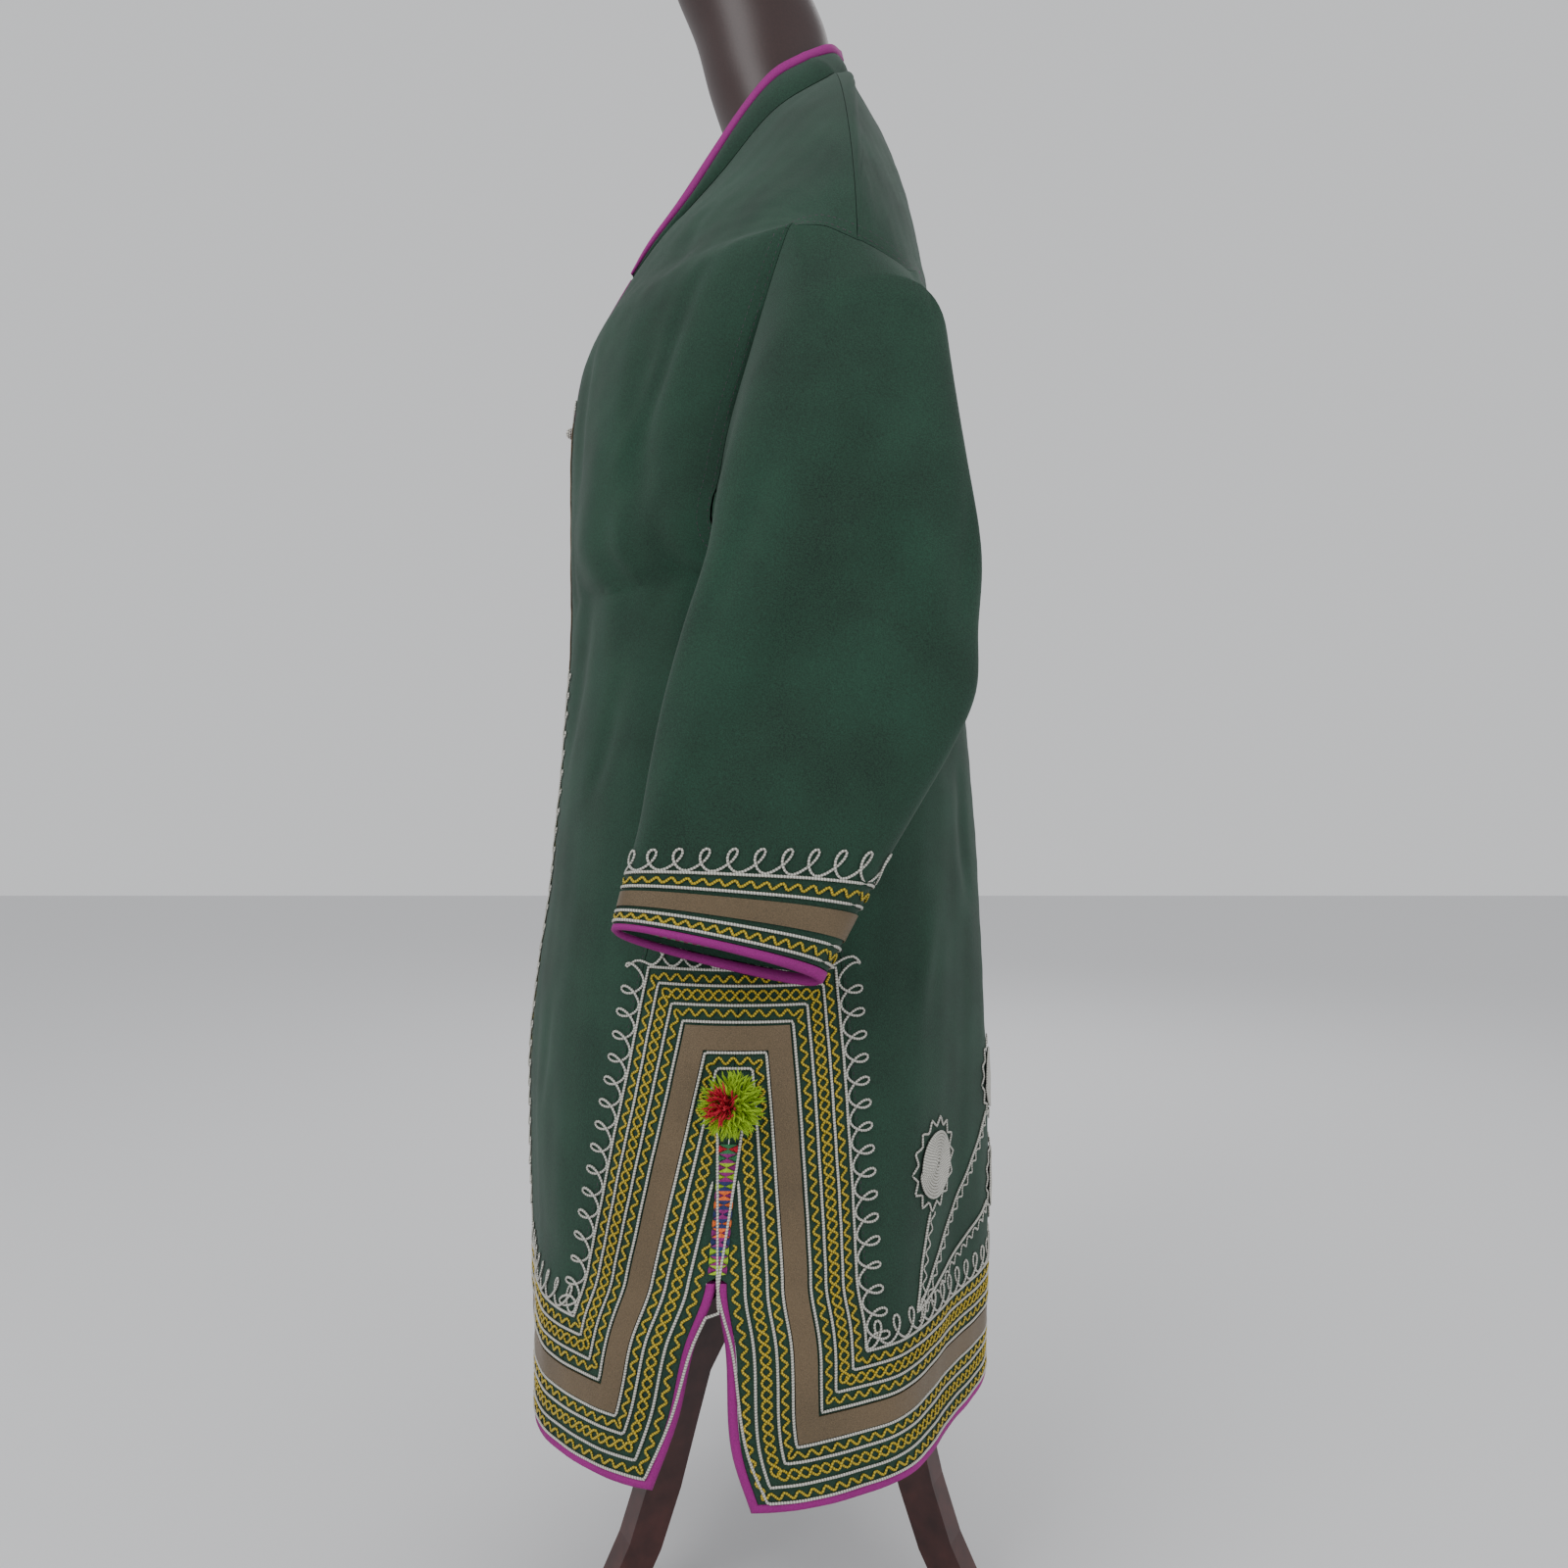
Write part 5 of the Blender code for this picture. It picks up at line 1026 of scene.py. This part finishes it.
def new_material(name, colour, roughness, metallic=0.0, grain=700.0, spread=0.35, bump=0.25, sheen=0.0, braid=0.0):
    """Principled with colour variation and bump from noise, and on cords the turns of a braid."""
    material = bpy.data.materials.new(name)
    material.use_nodes = True
    nodes, links = material.node_tree.nodes, material.node_tree.links
    shader = nodes["Principled BSDF"]
    shader.inputs["Roughness"].default_value = roughness
    shader.inputs["Metallic"].default_value = metallic
    shader.inputs["Sheen Weight"].default_value = sheen
    shader.inputs["Sheen Roughness"].default_value = 0.5
    place = nodes.new("ShaderNodeTexCoord")
    fine, broad = nodes.new("ShaderNodeTexNoise"), nodes.new("ShaderNodeTexNoise")
    fine.inputs["Scale"].default_value = grain
    fine.inputs["Detail"].default_value = 4.0
    broad.inputs["Scale"].default_value = 16.0
    links.new(place.outputs["Object"], fine.inputs["Vector"])
    links.new(place.outputs["Object"], broad.inputs["Vector"])
    mix = nodes.new("ShaderNodeMath")
    mix.operation = "MULTIPLY_ADD"
    links.new(broad.outputs["Fac"], mix.inputs[0])
    mix.inputs[1].default_value = 0.45
    links.new(fine.outputs["Fac"], mix.inputs[2])
    height = fine.outputs["Fac"]
    if braid:
        wave = nodes.new("ShaderNodeTexWave")
        wave.bands_direction = "DIAGONAL"
        stretch = nodes.new("ShaderNodeMapping")
        stretch.inputs["Scale"].default_value = (1.0 / braid, 1.0, 1.0)
        links.new(place.outputs["UV"], stretch.inputs["Vector"])
        links.new(stretch.outputs["Vector"], wave.inputs["Vector"])
        wave.inputs["Scale"].default_value = 0.5
        height = wave.outputs["Fac"]
        links.new(height, mix.inputs[2])
    ramp = nodes.new("ShaderNodeValToRGB")
    ramp.color_ramp.elements[0].position = 0.45
    ramp.color_ramp.elements[1].position = 0.95
    ramp.color_ramp.elements[0].color = tuple(c * (1 - spread) for c in colour) + (1.0,)
    ramp.color_ramp.elements[1].color = tuple(min(1.0, c * (1 + spread)) for c in colour) + (1.0,)
    links.new(mix.outputs[0], ramp.inputs["Fac"])
    links.new(ramp.outputs["Color"], shader.inputs["Base Color"])
    raise_it = nodes.new("ShaderNodeBump")
    raise_it.inputs["Strength"].default_value = bump
    raise_it.inputs["Distance"].default_value = 0.0006
    links.new(height, raise_it.inputs["Height"])
    links.new(raise_it.outputs["Normal"], shader.inputs["Normal"])
    return material


def check_material():
    """Small green, pink and black checks of the cuff lining, by its chart."""
    material = new_material("lining", (0.18, 0.30, 0.16), 0.85)
    nodes, links = material.node_tree.nodes, material.node_tree.links
    squares = nodes.new("ShaderNodeTexChecker")
    squares.inputs["Scale"].default_value = 320.0
    squares.inputs["Color1"].default_value = (0.12, 0.26, 0.13, 1.0)
    squares.inputs["Color2"].default_value = (0.30, 0.04, 0.12, 1.0)
    place = nodes.new("ShaderNodeTexCoord")
    links.new(place.outputs["UV"], squares.inputs["Vector"])
    links.new(squares.outputs["Color"], nodes["Principled BSDF"].inputs["Base Color"])
    return material


MATERIALS = {
    "wool": new_material("wool", (0.0085, 0.036, 0.0205), 0.95, grain=1100, spread=0.6, bump=0.6, sheen=0.06),
    "binding": new_material("binding", (0.24, 0.0005, 0.155), 0.75, grain=1500, bump=0.4),
    "ribbon": new_material("ribbon", (0.125, 0.088, 0.048), 0.45, metallic=0.35, grain=1300, bump=0.5),
    "lining": check_material(),
    "silver": new_material("silver", (0.50, 0.49, 0.44), 0.42, metallic=0.35, braid=0.0016, bump=0.7),
    "gold": new_material("gold", (0.46, 0.34, 0.022), 0.42, metallic=0.35, braid=0.0014, bump=0.7),
    "stitch": new_material("stitch", (0.22, 0.01, 0.14), 0.8),
    "lime": new_material("lime", (0.30, 0.48, 0.012), 0.9),
    "red": new_material("red", (0.50, 0.008, 0.03), 0.9),
    "orange": new_material("orange", (0.70, 0.14, 0.02), 0.85),
    "navy": new_material("navy", (0.02, 0.03, 0.12), 0.85),
    "leaf": new_material("leaf", (0.03, 0.16, 0.06), 0.85),
    "form": new_material("form", (0.030, 0.0125, 0.0115), 0.42, grain=500, spread=0.15, bump=0.1),
    "wood": new_material("wood", (0.050, 0.014, 0.012), 0.33, grain=60, spread=0.4, bump=0.08),
}

creased(FRONT, FRONT_CREASES)
creased(BACK, BACK_CREASES)
SLEEVE_FOLDS = SLEEVE_FOLDS + SLEEVE_CREASES


def declared(piece, node, outer, wide):
    """Replaces a node by cloth. The cut's length down and across is worked out from the cloth's own surface but not
    used.
    """
    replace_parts(piece, node)
    down = np.linalg.norm(np.diff(outer, axis=0), axis=2).sum(axis=0).max()
    across = np.linalg.norm(np.diff(outer, axis=1), axis=2).sum(axis=1).max() * wide


def cloth(node, outer, inner, finish="wool", ring=False, pair=True):
    if pair:
        pieces = both_sides(walled, "cloth_" + node, [(outer, inner)], finish, ring=ring)
        for piece, side in zip(pieces, ("_left", "_right")):
            declared(piece, node + side, outer, 1.15 if ring else 1.0)
    else:
        piece = walled("cloth_" + node, [(outer, inner), (outer * MIRROR, inner * MIRROR)], finish)
        declared(piece, node, outer, 2.0)


def make_panels():
    outer, inner = panel_grids(FRONT, front_sample, len(BACK_UPPER) + 2)
    cloth("front", outer, inner)
    outer, inner = panel_grids(BACK, back_sample, len(BACK_UPPER))
    middle = np.concatenate([skirt_rows(BACK), upper_rows(BACK)]) <= BACK_NECK + 1e-9
    outer[middle, 0, 0] = 0.0
    inner[middle, 0, 0] = 0.0
    cloth("back", outer, inner, pair=False)


def make_gores():
    low = len(BACK_UPPER)
    for half, name, corner in ((FRONT, "gore_front", low + 2), (BACK, "gore_back", low)):
        rows = skirt_rows(half)
        outer, normals = grid_of(half, rows, gore_columns)
        pull_in(outer, None, 0, SEAM_GAP / 2)
        slit_rows = int((half.hem + rows < SLIT_TOP + SLIT_STEP / 2).sum())
        outer[slit_rows:, -1], normals[slit_rows:, -1] = side_seam(rows[slit_rows:] + half.hem)
        pull_in(outer[slit_rows:], None, -1, SEAM_GAP / 2)
        inner = outer - normals * CLOTH
        across = np.linspace(0, 1, outer.shape[1])[:, None]
        ends = (corner, low + 1)
        gap = SEAM_ACROSS[ends[0]] * (1 - across) + SEAM_ACROSS[ends[1]] * across
        inward = unit(BODY_IN[ends[0]] * (1 - across) + BODY_IN[ends[1]] * across)
        outer[-1] = ARMHOLE[ends[0]] * (1 - across) + ARMHOLE[ends[1]] * across - gap
        inner[-1] = outer[-1] + inward * CLOTH
        cloth(name, outer, inner)


def make_sleeves():
    grid, normals = sleeve_place(np.array(SLEEVE_ROWS))
    seam = ARMHOLE + SEAM_ACROSS
    parts = np.linspace(0, 1, 9)[:-1, None, None]
    bridge = seam[None] * (1 - parts) + grid[0][None] * parts
    inward = SLEEVE_IN[None] * (1 - parts) - normals[0][None] * parts
    outer = np.concatenate([bridge, grid])
    inner = np.concatenate([bridge + unit(inward) * CLOTH, grid - normals * CLOTH])
    cloth("sleeve", outer, inner, ring=True)
    edge, out = sleeve_place((0.0, BIND - SEAM_GAP))
    replaced("binding_cuff", band, bound_sections(edge[0], edge[1], out[1]), "binding", closed=True)
    rows, out = sleeve_place(np.linspace(*FRONT_RIBBON, 5))
    replaced("ribbon_cuff", walled, [(rows + out * 0.0014, rows + out * 0.0005)], "ribbon", ring=True)
    rows, out = sleeve_place(np.linspace(*LINING_REACH, 12))
    outer = rows - out * (CLOTH + 1.6 * SEAM_GAP)
    cloth("cuff_lining", outer, outer - out * LINING_THICK, finish="lining", ring=True)


def replaced(node, make, shapes, finish, **options):
    for piece, side in zip(both_sides(make, "soft_" + node, shapes, finish, **options), ("_left", "_right")):
        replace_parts(piece, node + side)


def make_bindings():
    pairs = front_binding_pairs()
    outline = places_on(FRONT, [pair[0] for pair in pairs])[0]
    inner, normals = places_on(FRONT, [pair[1] for pair in pairs])
    replaced("binding", band, bound_sections(outline, inner, normals), "binding")
    width = BIND - 0.0003
    rows = [up for up in skirt_rows(BACK) if BACK_HEM + up <= SLIT_TOP + 1e-9]
    pairs = [((across, 0.0), (across, width)) for across in hem_columns(BACK)[:-1]]
    pairs += slit_pairs(BACK, rows, width)
    outline = places_on(BACK, [pair[0] for pair in pairs])[0]
    inner, normals = places_on(BACK, [pair[1] for pair in pairs])
    left = bound_sections(outline, inner, normals)
    whole = np.concatenate([(left * MIRROR)[::-1], bound_sections(*hem_middle(width)), left])
    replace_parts(band("soft_binding_back", whole, "binding"), "binding_back")


def make_collar():
    base, top = collar_lines()
    base = np.concatenate([base, base[-2::-1] * MIRROR])
    top = np.concatenate([top, top[-2::-1] * MIRROR])
    rise = top - base
    height = np.linalg.norm(rise, axis=1, keepdims=True)
    out = unit(np.cross(np.gradient(base, axis=0), rise))
    middle = np.array((0.0, -0.02, 0.0))
    out = out * np.sign(np.sum(out[:, :2] * (base - middle)[:, :2], axis=1, keepdims=True))
    bind = np.minimum(COLLAR_BIND, height * 0.45)
    foot = base + unit(rise) * SEAM_GAP * 1.6
    body_top = top - unit(rise) * (bind + 2 * SEAM_GAP)
    swell = out * 0.0025 * np.minimum(1.0, height / 0.03)
    outer = np.stack([foot * (1 - v) + body_top * v + swell * 4 * v * (1 - v) for v in np.linspace(0, 1, 7)])
    piece = walled("cloth_collar", [(outer, outer - out * COLLAR_THICK)], "wool")
    declared(piece, "collar", outer, 1.0)
    low, half = top - unit(rise) * bind, COLLAR_THICK / 2
    centre, over = -out * half, half + BIND_PROUD
    sections = np.stack([
        low + centre + out * over,
        top + centre + out * over * 0.8 - unit(rise) * bind * 0.15,
        top + centre,
        top + centre - out * over * 0.8 - unit(rise) * bind * 0.15,
        low + centre - out * over,
    ], axis=1)
    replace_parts(band("soft_binding_collar", sections, "binding"), "binding_collar")


def make_ribbons():
    ups = np.linspace(SIDE_RIBBON[0], FRONT_RIBBON_TOP, 110)
    lines = [on_front(np.stack([np.full(110, across), ups], axis=1)) for across in np.linspace(*FRONT_RIBBON, 5)]
    points, out = (np.stack([line[i] for line in lines]) for i in (0, 1))
    replaced("ribbon_front", walled, [(points + out * 0.0014, points + out * 0.0005)], "ribbon")
    start = FRONT_RIBBON[1] + RIBBON_LINES
    lines = [around_side(side_paths(d, start)[0]) for d in np.linspace(*SIDE_RIBBON, 5)]
    points, out = (np.stack([line[i] for line in lines]) for i in (0, 1))
    replaced("ribbon_side", walled, [(points + out * 0.0014, points + out * 0.0005)], "ribbon")


def make_trims():
    silver, gold = Strands(), Strands()
    beyond = FRONT_RIBBON[1] + 0.004
    for d in SIDE_CORDS:
        for path in side_paths(d, d if d < FRONT_RIBBON[0] else beyond):
            straight(silver, around_side, path)
    for d in SIDE_RICRACS:
        for path in side_paths(d, d if d < FRONT_RIBBON[0] else beyond):
            waved(gold, around_side, path, RICRAC_WAVE)
    for d in SIDE_CHAINS:
        for path in side_paths(d, d if d < FRONT_RIBBON[0] else beyond):
            for phase in (0.0, math.pi):
                waved(gold, around_side, path, CHAIN_WAVE, phase)
    looped(silver, around_side, side_paths(SIDE_LOOPS, EDGE_CORDS[-1] + 0.022)[0])
    for d in EDGE_CORDS:
        top = FRONT_RIBBON_TOP if d < FRONT_RIBBON[1] else EDGE_OUTER_TOP
        straight(silver, on_front, [(d, top), (d, d if d < FRONT_RIBBON[0] else SIDE_LOOPS)])
    for d in EDGE_RICRACS:
        top = FRONT_RIBBON_TOP if d < FRONT_RIBBON[1] else EDGE_OUTER_TOP
        waved(gold, on_front, [(d, top), (d, d if d < FRONT_RIBBON[0] else SIDE_LOOPS)], RICRAC_WAVE)
    looped(silver, on_front, [(EDGE_LOOPS, EDGE_OUTER_TOP), (EDGE_LOOPS, SIDE_LOOPS + 0.022)])
    for turn in (-60, 0, 60):
        lean = math.radians(90 + turn)
        at = np.linspace(0, 2 * math.pi, 60)
        reach = 0.011 * (1 - np.cos(at))
        wide = 0.0045 * np.sin(at)
        leaf = np.stack([
            0.018 + reach * math.cos(lean) - wide * math.sin(lean),
            FRONT_RIBBON_TOP + 0.004 + reach * math.sin(lean) + wide * math.cos(lean),
        ], axis=1)
        straight(silver, on_front, leaf, 0.0020)
    ring = CUFF_RUN[-1]
    for d in EDGE_CORDS:
        straight(silver, around_cuff, [(0.0, d), (ring, d)])
    for d in EDGE_RICRACS:
        waved(gold, around_cuff, [(0.0, d), (ring, d)], RICRAC_WAVE)
    looped(silver, around_cuff, [(0.001, EDGE_LOOPS), (ring - 0.001, EDGE_LOOPS)])
    for side, mirror in (("_left", False), ("_right", True)):
        silver.make("couched_cords" + side, "silver", mirror)
        gold.make("gold_braids" + side, "gold", mirror)


def make_stitches():
    """Magenta stitching beside the armhole and gore seams."""
    stitches = Strands()
    for away in (0.003, 0.011):
        line = ARMHOLE - ARMHOLE_LEAVING * away + ARMHOLE_NORMALS * 0.0008
        line, _ = walk(np.concatenate([line, line[:1]]), 0.0022)
        outs = np.stack([np.interp(np.linspace(0, 1, len(line)), np.linspace(0, 1, len(ARMHOLE)),
                                   ARMHOLE_NORMALS[:, i]) for i in range(3)], axis=1)
        for i in range(0, len(line) - 2, 2):
            stitches.add(line[i:i + 2], outs[i:i + 2], 0.0009, sides=4)
    z = np.arange(0.33, UNDERARM - 0.01, 0.0022)
    for sign in (-1, 1):
        places = np.stack([sign * (gore_reach(z) + 0.002), z], axis=1)
        points, out = around_side(places)
        points = points + out * 0.0006
        for i in range(0, len(points) - 2, 2):
            stitches.add(points[i:i + 2], out[i:i + 2], 0.0009, sides=4)
    for side, mirror in (("_left", False), ("_right", True)):
        stitches.make("seam_stitches" + side, "stitch", mirror)


STRIP_ROWS = (
    ("leaf", "red"), ("stitch", "leaf"), ("lime", "stitch"), ("stitch", "lime"), ("navy", "lime"),
    ("orange", "stitch"), ("navy", "orange"), ("stitch", "navy"), ("navy", "orange"), ("orange", "stitch"),
    ("stitch", "navy"), ("navy", "lime"), ("stitch", "lime"), ("lime", "stitch"),
)


def make_strips():
    """Satin-stitched triangles, four to a square, over the side seam above the slit."""
    low, high = STRIP_HEIGHTS[0], STRIP_HEIGHTS[-1]
    tall = (high - low) / len(STRIP_ROWS)
    patches = {}
    for number, (upright, flank) in enumerate(STRIP_ROWS):
        z = high - number * tall
        for finish, turn in ((upright, 0), (flank, 1), (upright, 2), (flank, 3)):
            strands = patches.setdefault(finish, Strands())
            for v in np.linspace(0.10, 0.90, 7):
                wide = STRIP_HALF * (1 - v)
                if turn % 2 == 0:
                    sign = 1 if turn == 0 else -1
                    ends = [(-wide, z - tall / 2 + sign * tall / 2 * (1 - v)), (wide, z - tall / 2 + sign * tall / 2 * (1 - v))]
                else:
                    sign = 1 if turn == 1 else -1
                    half = tall / 2 * (1 - v)
                    ends = [(sign * wide, z - tall / 2 - half), (sign * wide, z - tall / 2 + half)]
                line, _ = walk(ends, 0.002)
                points, out = around_side(line)
                strands.add(points + out * 0.0012, out, 0.0010, 0.0010, sides=4)
    for finish, strands in patches.items():
        for side, mirror in (("_left", False), ("_right", True)):
            piece = strands.make("strip_" + finish + side, finish, mirror)
            if finish == STRIP_ROWS[0][0]:
                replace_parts(piece, "strip" + side)


def make_pompoms():
    foot, out = side_seam(np.array([POMPOM_Z]))
    out = out[0]
    centre = foot[0] + out * POMPOM_CORE
    chance = np.random.default_rng(7)
    yarns = {"lime": Strands(), "red": Strands()}
    core = unit(out + np.array((0.0, -0.45, 0.12)))
    for _ in range(520):
        way = unit(chance.normal(size=3))
        if way @ out < POMPOM_TILT:
            continue
        finish = "red" if way @ core > 0.80 else "lime"
        reach = POMPOM_RADIUS * chance.uniform(0.86, 1.0)
        curl = unit(np.cross(way, chance.normal(size=3)))
        at = np.linspace(0.10, 1, 7)[:, None]
        line = centre + way * reach * at + curl * 0.0022 * np.sin(at * chance.uniform(4, 8))
        yarns[finish].add(line, np.tile(curl, (7, 1)), 0.0015, sides=4)
    for side, mirror in (("_left", False), ("_right", True)):
        for finish, strands in yarns.items():
            piece = strands.make("pompom_" + finish + side, finish, mirror)
            if finish == "lime":
                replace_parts(piece, "pompom" + side)


def make_flowers():
    """Coiled discs with a zigzag ring, and the stems that join them to their base."""
    base = (0.225, 0.111)
    for number, (across, up) in enumerate(FLOWERS.values(), 1):
        strands = Strands()
        turn = np.linspace(0.5, 11 * 2 * math.pi, 900)
        radius = FLOWER_COILS * turn / turn[-1]
        straight(strands, on_back, np.stack([across + radius * np.cos(turn), up + radius * np.sin(turn)], axis=1), 0.0023, 0.0018)
        turn = np.linspace(0, 2 * math.pi, 2 * FLOWER_POINTS + 1)
        radius = np.where(np.arange(len(turn)) % 2, FLOWER_RADII[0], FLOWER_RADII[1] + 0.001)
        straight(strands, on_back, np.stack([across + radius * np.cos(turn), up + radius * np.sin(turn)], axis=1), 0.0018)
        away = unit(np.array([base[0] - across, base[1] - up]))
        end = (across + away[0] * FLOWER_RADII[1], up + away[1] * FLOWER_RADII[1])
        straight(strands, on_back, [base, end], 0.0022)
        waved(strands, on_back, beside(np.linspace(base, end, 40), 0.006), (0.011, 0.0024, 0.0017))
        for side, mirror in (("_left", False), ("_right", True)):
            piece = strands.make("cord_flower_%d%s" % (number, side), "silver", mirror)
            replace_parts(piece, "flower_%d%s" % (number, side))


def make_button():
    low, high = (np.array(corner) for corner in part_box("button"))
    centre, radius = (low + high) / 2 - (0.0, SHIFT_Y, 0.0), (high[0] - low[0]) / 2
    strands = Strands()
    turn = np.linspace(0, 14 * math.pi, 400)
    lean = np.linspace(-1.5, 1.5, 400)
    way = np.stack([np.cos(turn) * np.cos(lean), np.sin(lean), np.sin(turn) * np.cos(lean)], axis=1)
    strands.add(centre + way * (radius - 0.0008), way, 0.0017)
    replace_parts(strands.make("knotted_button", "silver"), "button")


def make_form():
    """The form with rounder rings than its solid, and the stand's own nodes with wood."""
    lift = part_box("dress_form")[1][2] - TORSO_RINGS[-1][0]
    table = np.array(TORSO_RINGS)
    heights = np.linspace(table[0, 0], table[-1, 0], 150)
    width, middle, depth = spline(table, heights).T
    turn = np.linspace(0, 2 * math.pi, 72, endpoint=False)
    shrink = math.cos(math.pi / TORSO_SIDES)
    sections = np.stack([
        width[:, None] * np.cos(turn) * shrink,
        middle[:, None] + depth[:, None] * np.sin(turn) * shrink,
        np.repeat(heights[:, None] + lift, 72, axis=1),
    ], axis=2)
    ends = [sections[:1] * (0.02, 0.02, 1.0) + (0.0, middle[0] * 0.98, 0.0),
            sections[-1:] * (0.02, 0.02, 1.0) + (0.0, middle[-1] * 0.98, 0.0)]
    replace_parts(band("smooth_form", np.concatenate([ends[0], sections, ends[1]]), "form"), "dress_form")
    for node in ("neck_cap", "stand_column", "leg_front", "leg_back", "leg_side"):
        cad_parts[node].data.materials.clear()
        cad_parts[node].data.materials.append(MATERIALS["wood"])


def plain(name, colour):
    material = bpy.data.materials.new(name)
    material.use_nodes = True
    material.node_tree.nodes["Principled BSDF"].inputs["Base Color"].default_value = (*colour, 1.0)
    material.node_tree.nodes["Principled BSDF"].inputs["Roughness"].default_value = 0.8
    return material


def make_stage():
    bpy.ops.mesh.primitive_plane_add(size=12.0, location=(0.0, 0.0, 0.0))
    floor = bpy.context.object
    floor.name = "floor"
    floor.data.materials.append(plain("floor", (0.70, 0.70, 0.71)))
    world = bpy.context.scene.world or bpy.data.worlds.new("studio")
    bpy.context.scene.world = world
    world.use_nodes = True
    world.node_tree.nodes["Background"].inputs["Color"].default_value = (0.88, 0.89, 0.91, 1.0)
    world.node_tree.nodes["Background"].inputs["Strength"].default_value = 0.85
    for name, at, power, size in (
        ("key", (2.0, -1.6, 2.4), 42.0, 1.6),
        ("fill", (1.8, 1.9, 1.4), 16.0, 2.0),
        ("back", (-1.8, 0.6, 2.2), 20.0, 2.0),
    ):
        light = bpy.data.lights.new(name, "AREA")
        light.energy, light.size = power, size
        lamp = bpy.data.objects.new(name, light)
        lamp.location = at
        lamp.rotation_euler = (Vector((0.0, 0.0, 0.7)) - Vector(at)).to_track_quat("-Z", "Y").to_euler()
        bpy.context.scene.collection.objects.link(lamp)
    lens = bpy.data.cameras.new("camera")
    lens.sensor_width = 36.0
    lens.lens = 36.0 * PHOTO_FOCAL / PHOTO_SIZE
    camera = bpy.data.objects.new("camera", lens)
    camera.location = CAMERA_AT
    camera.rotation_euler = (math.pi / 2, 0.0, math.pi / 2)
    bpy.context.scene.collection.objects.link(camera)
    bpy.context.scene.camera = camera


make_stage()
make_panels()
make_gores()
make_sleeves()
make_bindings()
make_collar()
make_ribbons()
make_trims()
make_stitches()
make_strips()
make_pompoms()
make_flowers()
make_button()
make_form()

bpy.context.view_layer.update()
